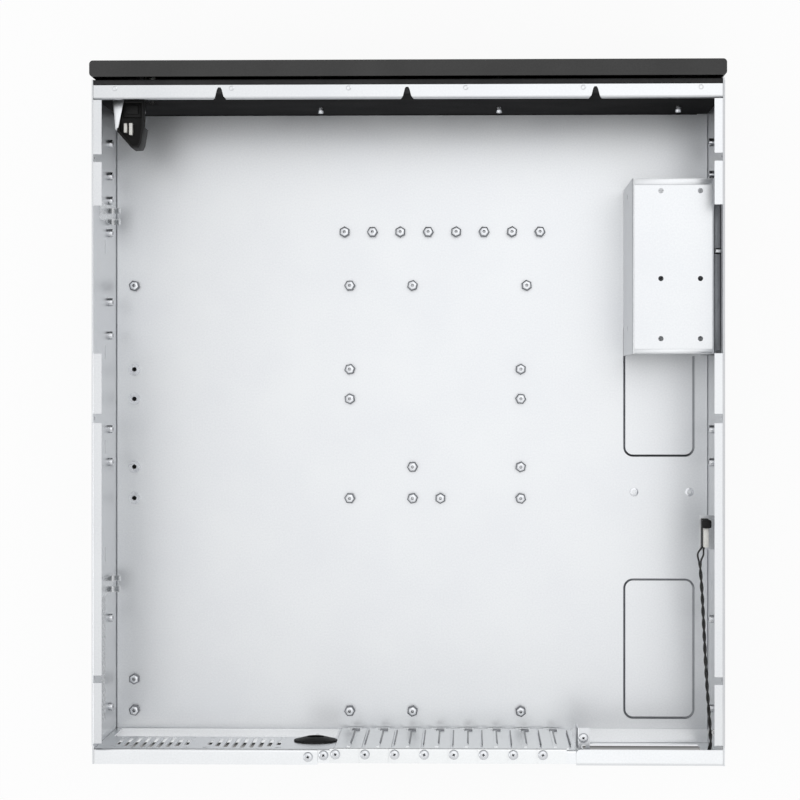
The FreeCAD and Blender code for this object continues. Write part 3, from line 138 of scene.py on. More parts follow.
def tube_mesh(name, centres, radius, sides=10):
    """A closed round tube that follows a list of points."""
    shape = bmesh.new()
    angles = [2 * math.pi * k / sides for k in range(sides)]
    rings = []
    for point, ahead, side, up in frames_along(centres):
        rings.append([shape.verts.new(point + radius * (
            side * math.cos(angle) + up * math.sin(angle))) for angle in angles])
    for first, second in zip(rings, rings[1:]):
        for k in range(sides):
            shape.faces.new((first[k], first[(k + 1) % sides], second[(k + 1) % sides], second[k]))
    for ring in (rings[0], rings[-1]):
        shape.faces.new(ring)
    bmesh.ops.recalc_face_normals(shape, faces=shape.faces)
    mesh = bpy.data.meshes.new(name)
    shape.to_mesh(mesh)
    shape.free()
    piece = bpy.data.objects.new(name, mesh)
    bpy.context.scene.collection.objects.link(piece)
    return piece


def join(name, pieces):
    """One object from several, with everything else left unselected."""
    bpy.ops.object.select_all(action="DESELECT")
    for piece in pieces:
        piece.select_set(True)
    bpy.context.view_layer.objects.active = pieces[0]
    if len(pieces) > 1:
        bpy.ops.object.join()
    pieces[0].name = name
    return pieces[0]


# %% Two wires round one line
# the two wires stand apart in a small open loop behind the switch, and twist after it
WIRE, STEP = CABLE_WIDTH / 2, 1.0 * MM
LOOP_LENGTH, LOOP_SPREAD = 11 * MM, 1.3 * MM
cable_frames = frames_along(resample(cable_path, STEP))
wires = []
for half in (0, 1):
    centres = []
    for i, (point, ahead, side, up) in enumerate(cable_frames):
        along = i * STEP
        turn = math.pi * (0.5 + half) + 2 * math.pi * max(0, along - LOOP_LENGTH) / CABLE_TURN
        spread = LOOP_SPREAD * math.sin(math.pi * min(1, along / LOOP_LENGTH)) ** 2
        reach = WIRE / 2 + spread
        centres.append(point + reach * (side * math.cos(turn) + up * math.sin(turn)))
    wires.append(tube_mesh(f"wire_{half + 1}", centres, WIRE / 2))
cable = join("twisted_cable", wires)
print("twisted_cable", len(cable.data.polygons), "faces")
for polygon in cable.data.polygons:
    polygon.use_smooth = True
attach(cable, "case")
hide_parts("switch_cable")

# %% [markdown]
# ## Colour and nodes
# Colours are written as screen hex values. Blender's shaders want linear light, so one small
# function turns them. Another adds a node, sets it and links it in one call.

# %% Helpers for materials
def linear(code):
    """Linear RGBA from an sRGB hex colour."""
    parts = [int(code[i:i + 2], 16) / 255 for i in (0, 2, 4)]
    return (*[v / 12.92 if v <= 0.04045 else ((v + 0.055) / 1.055) ** 2.4 for v in parts], 1)


def add(tree, kind, inputs=None, **settings):
    """A node with its settings; each input is given a value or another node's socket."""
    node = tree.nodes.new(kind)
    for name, value in settings.items():
        setattr(node, name, value)
    for name, value in (inputs or {}).items():
        socket = node.inputs[name]
        if isinstance(value, bpy.types.NodeSocket):
            tree.links.new(value, socket)
        else:
            socket.default_value = value
    return node


def start_material(name):
    """An empty node material, with the object's own coordinates to start from."""
    material = bpy.data.materials.new(name)
    material.use_nodes = True
    tree = material.node_tree
    tree.nodes.clear()
    return material, tree, add(tree, "ShaderNodeTexCoord").outputs["Object"]


NOISE_RANGE = (0.38, 0.62)  # most of a noise pattern lies between these values


def uneven(tree, fine, broad, dark, pale, roughness):
    """A colour and a roughness that drift together with a fine and a broad pattern."""
    both = add(tree, "ShaderNodeMix", {0: 0.5, 2: fine, 3: broad}).outputs[0]
    level = add(tree, "ShaderNodeMapRange", {
        "Value": both, "From Min": NOISE_RANGE[0], "From Max": NOISE_RANGE[1]}).outputs["Result"]
    tint = add(tree, "ShaderNodeMix", {0: level, 6: linear(dark), 7: linear(pale)},
               data_type="RGBA").outputs[2]
    rough = add(tree, "ShaderNodeMapRange", {
        "Value": level, "To Min": roughness[0], "To Max": roughness[1]}).outputs["Result"]
    return tint, rough


RELIEF = 0.1 * MM  # depth of the finest pattern on every finish

# %% [markdown]
# ## Zinc-coated steel
# The case is folded from hot-dipped sheet that was rolled smooth. It shines softly, with a
# fine grain and cloudy patches a few centimetres wide. Both move the colour and the roughness
# a little, and a very shallow bump breaks up the highlights. The real grain is a few tenths
# of a millimetre, too fine to show from this far, so it is drawn at about a millimetre, and
# at half of that on small pieces. Screws, clips and covers are other steels with other
# values, so one function makes them all.

# %% Metal finishes
def metal(name, dark, pale, roughness, grain, cloud, bump=0.05, stretch=(1, 1, 1)):
    """A metal: grain and cloud are the sizes of its fine and its broad pattern, in mm."""
    material, tree, place = start_material(name)
    drawn = add(tree, "ShaderNodeMapping", {"Vector": place, "Scale": stretch}).outputs["Vector"]
    fine = add(tree, "ShaderNodeTexNoise", {
        "Vector": drawn, "Scale": 1 / (grain * MM), "Detail": 3.0}).outputs["Fac"]
    broad = add(tree, "ShaderNodeTexNoise", {
        "Vector": place, "Scale": 1 / (cloud * MM), "Detail": 2.0}).outputs["Fac"]
    tint, rough = uneven(tree, fine, broad, dark, pale, roughness)
    relief = add(tree, "ShaderNodeBump", {
        "Height": fine, "Strength": bump, "Distance": RELIEF}).outputs["Normal"]
    shader = add(tree, "ShaderNodeBsdfPrincipled", {
        "Base Color": tint, "Metallic": 1.0, "Roughness": rough, "Normal": relief})
    add(tree, "ShaderNodeOutputMaterial", {"Surface": shader.outputs[0]})
    return material


# the rear sheets: hot-dipped and rolled, with a soft wide shine; painted light makes them paler
painted_light_sheet = metal("zinc_sheet_painted_lighter", "DCDEE0", "E4E6E8", (0.3, 0.34), 1.2, 60, bump=0.02)
# the other sheets: the same coating, a shade darker
zinc_sheet = metal("zinc_coated_sheet", "CBCDD0", "D3D5D7", (0.3, 0.34), 1.2, 60, bump=0.02)
# the slot covers: stamped steel with smaller clouds in its zinc
cover_steel = metal("stamped_zinc_steel", "DADCDD", "E2E4E5", (0.28, 0.34), 0.9, 20, bump=0.03)
# the wall clips: polished spring steel, smoother than sheet, with fine drawn lines
spring_steel = metal("polished_spring_steel", "BEC0C2", "D2D4D6", (0.2, 0.3), 0.6, 12,
                     stretch=(1, 6, 1))
# screws, studs and nuts: electroplated zinc, even and bright
bright_zinc = metal("bright_zinc_plate", "C6C8CC", "D6D8DB", (0.2, 0.3), 0.5, 6)
# the socket shells: nickel plate, smooth and slightly warm
nickel_shell = metal("nickel_plated_shell", "B9B6AE", "CDCAC2", (0.18, 0.28), 0.4, 5)
# painted shade on steps, ribs, gaps, the cage ledge and the sides and bores of studs: grey, dull
# zinc
shade_painted_zinc = metal("shade_painted_zinc", "77797D", "8A8C90", (0.34, 0.44), 0.6, 15)
# cross recesses, thread mouths and socket mouths: painted shade, a dark matt zinc where little
# light reaches
shaded_zinc = metal("zinc_painted_with_recess_shade", "2C2D30", "3A3B3E", (0.5, 0.6), 0.4, 5)

# %% [markdown]
# ## Black coat, plastics and board
# The front plate has a smooth black coat, and the front panel a dark grey powder coat with a
# fine orange-peel surface. The switch, plug and buttons are moulded plastic. None of these
# is a metal to light: the colour is all in the base, and the shine is a clear reflection at
# the skin, which a matt coat nearly loses.

# %% Coats and plastics
CLOUD = 30  # mm, how far a moulded or sprayed skin drifts in colour


def coated(name, dark, pale, roughness, texture, bump, coat=0.0, shine=0.5):
    """A paint or a plastic: texture is the size of its surface pattern, in mm."""
    material, tree, place = start_material(name)
    skin = add(tree, "ShaderNodeTexNoise", {
        "Vector": place, "Scale": 1 / (texture * MM), "Detail": 2.0}).outputs["Fac"]
    broad = add(tree, "ShaderNodeTexNoise", {
        "Vector": place, "Scale": 1 / (CLOUD * MM), "Detail": 2.0}).outputs["Fac"]
    tint, rough = uneven(tree, skin, broad, dark, pale, roughness)
    relief = add(tree, "ShaderNodeBump", {
        "Height": skin, "Strength": bump, "Distance": RELIEF}).outputs["Normal"]
    shader = add(tree, "ShaderNodeBsdfPrincipled", {
        "Base Color": tint, "Roughness": rough, "Normal": relief, "IOR": 1.5,
        "Coat Weight": coat, "Specular IOR Level": shine})
    add(tree, "ShaderNodeOutputMaterial", {"Surface": shader.outputs[0]})
    return material


# the front panel: sprayed powder, matt, with an orange-peel skin about a millimetre wide
powder_coat = coated("dark_powder_coat", "383838", "404040", (0.55, 0.65), 0.9, 0.3, shine=0.25)
# the front plate: a thin baked coat, smooth and matt
black_coat = coated("smooth_black_coat", "333334", "3A3A3B", (0.75, 0.85), 1.6, 0.1, shine=0.0)
# plug, carrier, switch and rear clip: moulded nylon, matt black
black_plastic = coated("black_moulded_plastic", "131313", "1C1C1C", (0.5, 0.6), 0.5, 0.2,
                       shine=0.2)
# connector, wall clip and ribs: moulded nylon, milky with a soft shine
white_nylon = coated("white_nylon", "E4E3DE", "F0EFEA", (0.38, 0.48), 1.5, 0.05)
# the two buttons: ABS from a polished mould, black with a gentle shine
button_plastic = coated("button_plastic", "1B1B1C", "262627", (0.3, 0.4), 0.4, 0.1)
# the lamp rods: cast acrylic, milky and glossy
lens_plastic = coated("milky_lens_plastic", "D8DCD8", "E8ECE8", (0.08, 0.14), 2.0, 0.02, coat=0.4)
# the board: a glossy green film of solder mask
board_mask = coated("green_board_mask", "12402A", "1A5236", (0.26, 0.34), 2.0, 0.05, coat=0.3)
# the wires: extruded soft vinyl, black and smooth
wire_sheath = coated("wire_sheath", "121212", "1E1E1E", (0.36, 0.46), 1.2, 0.05)

# %% [markdown]
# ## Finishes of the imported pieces
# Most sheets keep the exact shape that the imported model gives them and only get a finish. A
# table of finish and names does it, so it is easy to see what each sheet is made of.

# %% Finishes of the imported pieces
FINISHES = {
    zinc_sheet: ["floor_plate", "right_side_wall", "left_side_wall", "front_top_rail",
                 "corner_bracket", "drive_cage", "module_bracket", "switch_bracket"],
    painted_light_sheet: ["rear_io_panel", "slot_frame", "flange_splice", "rear_psu_panel"],
    cover_steel: [f"slot_cover_{k}" for k in range(1, 9)],
    spring_steel: ["wall_clip_front", "wall_clip_rear"],
    bright_zinc: ["board_standoffs", "board_bosses", "card_support_standoffs"],
    nickel_shell: ["usb_sockets"],
    powder_coat: ["front_panel"],
    black_coat: ["front_plate"],
    black_plastic: ["hole_plug", "module_housing", "switch_body", "switch_plunger",
                    "cable_clip_rear"],
    button_plastic: ["power_button", "reset_button"],
    lens_plastic: ["led_lenses"],
    board_mask: ["control_board"],
    white_nylon: ["cable_connector", "cable_clip_wall"],
}
for material, names in FINISHES.items():
    for name in names:
        nodes[name].data.materials.clear()
        nodes[name].data.materials.append(material)
cable.data.materials.clear()
cable.data.materials.append(wire_sheath)
print("finished", sum(len(names) for names in FINISHES.values()), "nodes")

# %% [markdown]
# ## Making small pieces by hand
# Every small piece starts from a primitive at its size and place. Its faces are then picked by
# place or direction in edit mode and shaped. A few short helpers hold the steps that all of
# them share: clear the selection, pick faces, apply a modifier, copy a model, and settle a
# finished piece with its finish, its body and its material slot.

# %% Helpers for small pieces
def clear_selection():
    """Nothing selected, because an operator acts on all that is."""
    bpy.ops.object.select_all(action="DESELECT")


def block(low, high):
    """A box between two corners given in mm."""
    clear_selection()
    middle = [(a + b) / 2 * MM for a, b in zip(low, high)]
    bpy.ops.mesh.primitive_cube_add(size=1, location=middle)
    piece = bpy.context.object
    piece.scale = [(b - a) * MM for a, b in zip(low, high)]
    bpy.ops.object.transform_apply(location=True, rotation=True, scale=True)
    return piece


def drum(radius, low, high, sides=24):
    """An upright cylinder about the origin between two heights, all in mm."""
    clear_selection()
    bpy.ops.mesh.primitive_cylinder_add(vertices=sides, radius=radius * MM,
        depth=(high - low) * MM, location=(0, 0, (low + high) / 2 * MM))
    piece = bpy.context.object
    bpy.ops.object.transform_apply(location=True, rotation=True, scale=True)
    return piece


def edit_faces(piece, wanted):
    """Enter edit mode with only those faces selected whose centre and normal pass a test."""
    if bpy.context.mode != "EDIT_MESH":
        clear_selection()
        bpy.context.view_layer.objects.active = piece
        piece.select_set(True)
        bpy.ops.object.mode_set(mode="EDIT")
    bpy.ops.mesh.select_mode(type="FACE")
    bpy.ops.mesh.select_all(action="DESELECT")
    shape = bmesh.from_edit_mesh(piece.data)
    for face in shape.faces:
        face.select = wanted(face.calc_center_median() / MM, face.normal)
    shape.select_flush_mode()
    bmesh.update_edit_mesh(piece.data)


def leave_edit():
    bpy.ops.object.mode_set(mode="OBJECT")


def apply(piece, kind, **settings):
    """Add a modifier with its settings and apply it."""
    clear_selection()
    bpy.context.view_layer.objects.active = piece
    piece.select_set(True)
    modifier = piece.modifiers.new(kind.lower(), kind)
    for name, value in settings.items():
        setattr(modifier, name, value)
    bpy.ops.object.modifier_apply(modifier=modifier.name)


def cut(piece, cutter):
    """Cut one closed piece out of another; the cut faces keep the cutter's finish."""
    apply(piece, "BOOLEAN", operation="DIFFERENCE", solver="EXACT", object=cutter,
          material_mode="TRANSFER")
    bpy.data.objects.remove(cutter)


def round_off(piece, width, segments=2, angle=35):
    """Small rounded edges wherever two faces meet at more than an angle."""
    apply(piece, "BEVEL", width=width * MM, segments=segments, limit_method="ANGLE",
          angle_limit=math.radians(angle))


def copies(model, places):
    """Copies of a model: each is moved to (x, y, z) in mm and turned by a 3x3 matrix."""
    made = []
    for place, turn in places:
        piece = model.copy()
        piece.data = model.data.copy()
        bpy.context.scene.collection.objects.link(piece)
        piece.data.transform(Matrix.Translation([v * MM for v in place]) @ turn.to_4x4())
        made.append(piece)
    bpy.data.objects.remove(model)
    return made


def turned(degrees, axis="Z"):
    """A turn about one axis, as a 3x3 matrix."""
    return Matrix.Rotation(math.radians(degrees), 3, axis)


def settle(name, pieces, material, body="case"):
    """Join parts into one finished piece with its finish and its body."""
    piece = join(name, pieces)
    piece.data.name = name
    if not piece.data.materials:
        piece.data.materials.append(material)
    clear_selection()
    piece.select_set(True)
    bpy.ops.object.shade_smooth_by_angle(angle=math.radians(35))
    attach(piece, body)
    print(name, len(piece.data.polygons), "faces")
    return piece


# %% [markdown]
# ## Pan-head screws
# Screws with a low domed head and a cross recess hold the slot covers, the joint of the rear
# flanges, the corner bracket and the feet of the drive cage. One is modelled from a disc: its
# top edge is bevelled into a dome, its shank is extruded down and two blades cut the cross.
# Each copy is turned by its own angle in degrees, as screws driven by hand are.

# %% Pan-head screws
HEAD_RADIUS, HEAD_HEIGHT, SHANK_RADIUS, SHANK_LENGTH = 3.4, 1.9, 1.4, 3.4
DOME = 0.6 * HEAD_HEIGHT
CROSS_ARM, CROSS_WAIST, CROSS_FLOOR = 0.3 * HEAD_RADIUS, 0.11 * HEAD_RADIUS, 0.4 * HEAD_HEIGHT


def pan_screw():
    screw = drum(HEAD_RADIUS, 0, HEAD_HEIGHT, 32)
    screw.data.materials.append(bright_zinc)
    edit_faces(screw, lambda centre, normal: normal.z > 0.9)
    bpy.ops.mesh.bevel(offset=DOME * MM, segments=3, profile=0.5, affect="EDGES")
    edit_faces(screw, lambda centre, normal: normal.z < -0.9)
    bpy.ops.mesh.inset(thickness=(HEAD_RADIUS - SHANK_RADIUS) * MM, depth=0)
    bpy.ops.mesh.extrude_region_move(
        TRANSFORM_OT_translate={"value": (0, 0, -SHANK_LENGTH * MM)})
    leave_edit()
    for x, y in ((CROSS_ARM, CROSS_WAIST), (CROSS_WAIST, CROSS_ARM)):
        blade = block((-x, -y, CROSS_FLOOR), (x, y, HEAD_HEIGHT + 1))
        # the faces that the blades cut take this dark zinc: painted shade in the cross recess
        blade.data.materials.append(shaded_zinc)
        cut(screw, blade)
    return screw


# %% Where the screws sit
SLOTS, SLOT_PITCH = 8, 20.32
FIRST_COVER_SCREW = 49.6
CAGE_FOOT_Z = 3.6
cover_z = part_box("slot_cover_1")[1].z / MM
deck_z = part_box("slot_frame")[1].z / MM
bracket_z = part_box("corner_bracket")[1].z / MM
SCREWS = {
    "slot_cover_screws": [((FIRST_COVER_SCREW - SLOT_PITCH * k, 233.6, cover_z), 23 + 47 * k)
                          for k in range(SLOTS)],
    "flange_joint_screws": [((68.4, 235.6, deck_z), 12), ((57.8, 234.4, deck_z), 55)],
    "corner_bracket_screw": [((-121.1, 224.2, bracket_z), 38)],
    "cage_foot_screws": [((x, y, CAGE_FOOT_Z), x + y)
                         for x in (-161.9, -203.2) for y in (-141.7, -81.3)],
}
for name, screws in SCREWS.items():
    places = [(place, turned(angle)) for place, angle in screws]
    settle(name, copies(pan_screw(), places), None)

# %% [markdown]
# ## Standoffs and nuts
# The system board stands on hexagonal threaded standoffs that are pressed into the floor, so
# each one sits at its own chance angle. A six-sided cylinder with a chamfered top and a bored
# thread gives one. The walls carry round press nuts for the slide rails, and the floor has
# two flush ones.

# %% Standoffs
FLOOR_Z, STUD_TOP = 2.4, 8.9
ACROSS_FLATS, STUD_CHAMFER, STUD_BORE = 7.0, 0.9, 1.2
ACROSS_CORNERS = ACROSS_FLATS / math.cos(math.pi / 6)


def hex_stud():
    stud = drum(ACROSS_CORNERS / 2, FLOOR_Z, STUD_TOP, 6)
    stud.data.materials.append(bright_zinc)
    stud.data.materials.append(shade_painted_zinc)
    edit_faces(stud, lambda centre, normal: normal.z > 0.9)
    bpy.ops.mesh.bevel(offset=STUD_CHAMFER * MM, segments=2, affect="EDGES")
    # the chamfer and the sides take the second slot: painted shade, darker than the lit top
    edit_faces(stud, lambda centre, normal: normal.z < 0.95)
    stud.active_material_index = 1
    bpy.ops.object.material_slot_assign()
    leave_edit()
    # the thread bore takes the darker zinc too: painted shade in the hole
    thread = drum(STUD_BORE, FLOOR_Z - 1, STUD_TOP + 1, 20)
    thread.data.materials.append(shade_painted_zinc)
    cut(stud, thread)
    return stud


# %% Where the standoffs stand
# places on the hole pattern of system boards, in inches from the rear corner: across, along
INCH, CORNER_X, CORNER_Y = 25.4, 202.3, 217.2
BOARD_STUDS = [(0, 0.9), (0, 0), (6.2, 0), (8.0, 0), (11.1, 0), (6.2, 6.1), (8.0, 6.1),
               (8.8, 6.1), (11.1, 6.1), (8.0, 7.0), (11.1, 7.0), (6.2, 8.95), (11.1, 8.95),
               (6.2, 9.8), (11.1, 9.8), (0, 12.2), (6.2, 12.2), (8.0, 12.2), (11.27, 12.2)]
places = [((CORNER_X - across * INCH, CORNER_Y - along * INCH, 0), turned(17 * k % 60))
          for k, (across, along) in enumerate(BOARD_STUDS)]
studs = settle("hex_board_standoffs", copies(hex_stud(), places), None)
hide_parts("board_standoffs")
FIRST_CARD_STUD, CARD_STUD_Y = 48.63, -131.72
places = [((FIRST_CARD_STUD - SLOT_PITCH * k, CARD_STUD_Y, 0), turned(29 * k % 60))
          for k in range(SLOTS)]
studs = settle("hex_card_standoffs", copies(hex_stud(), places), None)
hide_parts("card_support_standoffs")

# %% Press nuts
NUT_BORE = 1.5


def press_nut(radius, height):
    nut = drum(radius, 0, height, 28)
    nut.data.materials.append(bright_zinc)
    edit_faces(nut, lambda centre, normal: normal.z > 0.9)
    bpy.ops.mesh.bevel(offset=min(0.5, height / 3) * MM, segments=2, affect="EDGES")
    leave_edit()
    thread = drum(NUT_BORE, -1, height + 1, 20)
    # the bore takes the dark zinc: painted shade in the thread mouth
    thread.data.materials.append(shaded_zinc)
    cut(nut, thread)
    return nut


WALL_NUTS = [-192.6, -169.4, -152.0, -128.7, -79.3, -55.5, 11.5, 34.9, 146.4, 210.0]
WALL_FACE, NUT_Z = 215.8, 45.0
for side, name in ((1, "right_wall_nuts"), (-1, "left_wall_nuts")):
    places = [((side * WALL_FACE, y, NUT_Z), turned(-90 * side, "Y")) for y in WALL_NUTS]
    settle(name, copies(press_nut(2.9, 3.2), places), None)
FLUSH_NUTS_Y = 57.69
places = [((x, FLUSH_NUTS_Y, FLOOR_Z), turned(0)) for x in (-162.09, -202.3)]
settle("floor_flush_nuts", copies(press_nut(3.2, 0.6), places), None)

# %% [markdown]
# ## Rivets and screw ends at the front
# Six flush rivets join the pale rail to the black front plate, and four screws of the front
# panel come through the plate, where their ends shine against the black.

# %% Rivets
RIVET_RADIUS, RIVET_LOW, RIVET_TOP = 1.66, 129.0, 131.9
RIVET_RIM, RIVET_DISH, RIVET_EDGE = 0.5, 0.25, 0.2
RIVET_Y, HALF_RIVET_PITCH = -221.7, 39.875


def flush_rivet():
    rivet = drum(RIVET_RADIUS, RIVET_LOW, RIVET_TOP, 24)
    edit_faces(rivet, lambda centre, normal: normal.z > 0.9)
    bpy.ops.mesh.inset(thickness=RIVET_RIM * MM, depth=0)
    bpy.ops.transform.translate(value=(0, 0, -RIVET_DISH * MM))
    bpy.ops.mesh.bevel(offset=RIVET_EDGE * MM, segments=2, affect="EDGES")
    leave_edit()
    return rivet


places = [((k * HALF_RIVET_PITCH, RIVET_Y, 0), turned(0)) for k in (-5, -3, -1, 1, 3, 5)]
settle("front_rail_rivets", copies(flush_rivet(), places), zinc_sheet)

# %% Screw ends
END_RADIUS, END_LENGTH, END_CHAMFER, END_Z, PLATE_INSIDE = 2.0, 4.2, 0.7, 49.0, -217.6


def screw_end():
    end = drum(END_RADIUS, 0, END_LENGTH, 20)
    edit_faces(end, lambda centre, normal: normal.z > 0.9)
    bpy.ops.mesh.bevel(offset=END_CHAMFER * MM, segments=2, affect="EDGES")
    edit_faces(end, lambda centre, normal: 0.9 < centre.z < 3.4 and abs(normal.z) < 0.1)
    bpy.ops.mesh.subdivide(number_cuts=1)
    leave_edit()
    return end


places = [((x, PLATE_INSIDE, END_Z), turned(-90, "X")) for x in (-190.5, -63.5, 63.5, 190.5)]
settle("front_panel_screw_ends", copies(screw_end(), places), bright_zinc)

# %% [markdown]
# ## Pressed panels in the floor
# Two rounded areas of the floor are pressed down by about a millimetre. The step is a narrow
# slope coloured with painted shade, which draws a thin grey outline. A rectangle with
# rounded corners is inset, its middle is lowered and taken out, and the back is closed.

# %% Sloped steps of the pressed panels
CORNER_RADIUS, SLOPE, DROP = 7.0, 1.5, 1.15
STEP_Z = (FLOOR_Z + 0.02) * MM  # just proud of the floor, so that the two never coincide


def select_edges(step, wanted):
    """In edit mode, only those edges selected that pass a test."""
    bpy.ops.mesh.select_all(action="DESELECT")
    for edge in bmesh.from_edit_mesh(step.data).edges:
        edge.select = wanted(edge)
    bmesh.update_edit_mesh(step.data)


def pressed_step(low, high):
    """The sloped border of a pressed panel between two corners (x, y) in mm."""
    clear_selection()
    middle = [(a + b) / 2 * MM for a, b in zip(low, high)]
    bpy.ops.mesh.primitive_plane_add(size=1, location=(*middle, STEP_Z))
    step = bpy.context.object
    step.scale = [(b - a) * MM for a, b in zip(low, high)] + [1]
    bpy.ops.object.transform_apply(location=True, rotation=True, scale=True)
    bpy.ops.object.mode_set(mode="EDIT")
    bpy.ops.mesh.select_all(action="SELECT")
    bpy.ops.mesh.bevel(offset=CORNER_RADIUS * MM, segments=10, affect="VERTICES")
    bpy.ops.mesh.select_all(action="SELECT")
    bpy.ops.mesh.inset(thickness=SLOPE * MM, depth=0)
    bpy.ops.transform.translate(value=(0, 0, -DROP * MM))
    bpy.ops.mesh.delete(type="ONLY_FACE")
    bpy.ops.mesh.select_mode(type="EDGE")
    select_edges(step, lambda edge: len(edge.link_faces) == 1
                 and all(v.co.z > STEP_Z - 0.001 * MM for v in edge.verts))
    bpy.ops.mesh.extrude_region_move(TRANSFORM_OT_translate={"value": (0, 0, -DROP * MM)})
    select_edges(step, lambda edge: len(edge.link_faces) == 1)
    bpy.ops.mesh.bridge_edge_loops()
    bpy.ops.mesh.select_all(action="SELECT")
    bpy.ops.mesh.normals_make_consistent(inside=False)
    leave_edit()
    return step


steps = [pressed_step((-206.0, low), (-154.4, high))
         for low, high in ((-67.9, 31.9), (120.7, 222.7))]
# the slope is coloured with painted shade, darker than the floor
settle("pressed_panel_steps", steps, shade_painted_zinc)

# %% [markdown]
# ## Folds beside and on the drive cage
# The front and rear edges of the cage's top are folded back flat, which shows as two slim
# bands. A ledge coloured with painted shade, grey as the gap is in shade, fills the narrow gap
# between the cage and the wall, in two lengths with a small tab between them. All are short
# strips of sheet, so each is a box with its edges rounded by the radius that a folded sheet has.

# %% Hems, ledge and tab
FOLD_RADIUS = 0.3


def strips(boxes, radius=FOLD_RADIUS):
    """Strips of sheet between pairs of corners in mm, each with rounded edges."""
    made = [block(low, high) for low, high in boxes]
    for strip in made:
        round_off(strip, radius)
    return made


CAGE_TOP, HEM_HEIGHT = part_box("drive_cage")[1].z / MM, 0.7
hems = strips([((-209.5, low, CAGE_TOP), (-155.8, high, CAGE_TOP + HEM_HEIGHT))
               for low, high in ((-161.5, -157.2), (-44.4, -41.5))])
settle("drive_cage_hems", hems, zinc_sheet)
# the ledge is coloured with painted shade, grey as the gap beside the cage is in shade
ledges = strips([((-215.6, low, 99.0), (-211.2, high, 100.0))
                 for low, high in ((-147.0, -114.0), (-110.2, -43.4))])
settle("drive_cage_ledge", ledges, shade_painted_zinc)
tab = strips([((-215.6, -113.2, 101.0), (-212.0, -111.0, 102.0))])
settle("drive_cage_tab", tab, zinc_sheet)

# %% [markdown]
# ## Lid snaps
# Small round snaps on the walls, in the gaps of the rim, hold the lid. Each is a low disc
# whose outer edge is rolled over by a wide bevel.

# %% Lid snaps
SNAP_RADIUS, SNAP_HEIGHT, SNAP_ROLL, SNAP_Z = 2.2, 1.8, 1.2, 124.0


def lid_snap():
    snap = drum(SNAP_RADIUS, 0, SNAP_HEIGHT, 20)
    edit_faces(snap, lambda centre, normal: normal.z > 0.9)
    bpy.ops.mesh.bevel(offset=SNAP_ROLL * MM, segments=4, affect="EDGES")
    leave_edit()
    return snap


places = [((side * WALL_FACE, y, SNAP_Z), turned(-90 * side, "Y"))
          for side in (1, -1) for y in (-174.3, 3.2, 181.2)]
settle("lid_snaps", copies(lid_snap(), places), bright_zinc)

# %% [markdown]
# ## Ribs of the slot covers
# Each slot cover has one slim pressed rib over a short wide one, and a thin strip lies where
# two covers meet. All three are painted shade, darker than the sheet: shade on the rib, in the
# window that the wide rib covers and in the gap between two covers. Three strips stand a
# little proud of each cover, and the pattern repeats at the pitch of the slots.

# %% Ribs and painted gap shade
COVER_FACE, PROUD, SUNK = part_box("slot_cover_1")[0].y / MM, 0.4, 1.0
# the first cover's strips: X of the middle, width, lowest and highest Z
RIBS = {"slim rib": (40.0, 1.1, 28.0, 95.0), "wide rib": (39.6, 5.6, 16.5, 24.5),
        "seam": (30.0, 0.8, 25.0, 98.0)}
ribs = strips([((x - SLOT_PITCH * k - width / 2, COVER_FACE - PROUD, low),
                (x - SLOT_PITCH * k + width / 2, COVER_FACE + SUNK, high))
               for k in range(SLOTS) for x, width, low, high in RIBS.values()],
              radius=0.25)
# ribs and gap strips are coloured with painted shade, darker than the covers
settle("slot_cover_ribs", ribs, shade_painted_zinc)

# %% [markdown]
# ## Hole plug
# A black plastic plug closes a round hole in the rear wall. Its head is a thin disc with a
# rounded rim and a shallow dish, and a hollow barrel behind it sits in the hole. One disc is
# inset and extruded twice, so head and barrel are one moulding as on the real plug.

# %% Hole plug
PLUG_X, PLUG_Z, WALL_Y = 65.6, 75.0, 230.25
PLUG_RADIUS, PLUG_HEAD, PLUG_RIM = 15.3, 1.3, 0.7
DISH_INSET, DISH_DEPTH = 9.0, 0.1
BARREL_INSET, BARREL_LENGTH, BARREL_WALL, BARREL_HOLLOW = 4.6, 4.0, 1.4, 3.2
head = drum(PLUG_RADIUS, 0, PLUG_HEAD, 48)
edit_faces(head, lambda centre, normal: normal.z > 0.9)
bpy.ops.mesh.bevel(offset=PLUG_RIM * MM, segments=3, affect="EDGES")
edit_faces(head, lambda centre, normal: normal.z > 0.9)
bpy.ops.mesh.inset(thickness=DISH_INSET * MM, depth=-DISH_DEPTH * MM)
edit_faces(head, lambda centre, normal: normal.z < -0.9)
bpy.ops.mesh.inset(thickness=BARREL_INSET * MM, depth=0)
bpy.ops.mesh.extrude_region_move(TRANSFORM_OT_translate={"value": (0, 0, -BARREL_LENGTH * MM)})
bpy.ops.mesh.inset(thickness=BARREL_WALL * MM, depth=0)
bpy.ops.mesh.extrude_region_move(TRANSFORM_OT_translate={"value": (0, 0, BARREL_HOLLOW * MM)})
leave_edit()
plug = settle("rear_hole_plug", copies(head, [((PLUG_X, WALL_Y, PLUG_Z), turned(90, "X"))]),
              black_plastic)
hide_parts("hole_plug")

# %% [markdown]
# ## Carrier of the controls
# Behind the front plate a moulded carrier holds the small board of the buttons and sockets.
# It is open at the top. Its outline is extruded from one face, its top is sunk by an inset
# and an extrusion, and its edges are rounded. The space behind the plate is cut out of it, so
# the stems of the buttons move freely there.

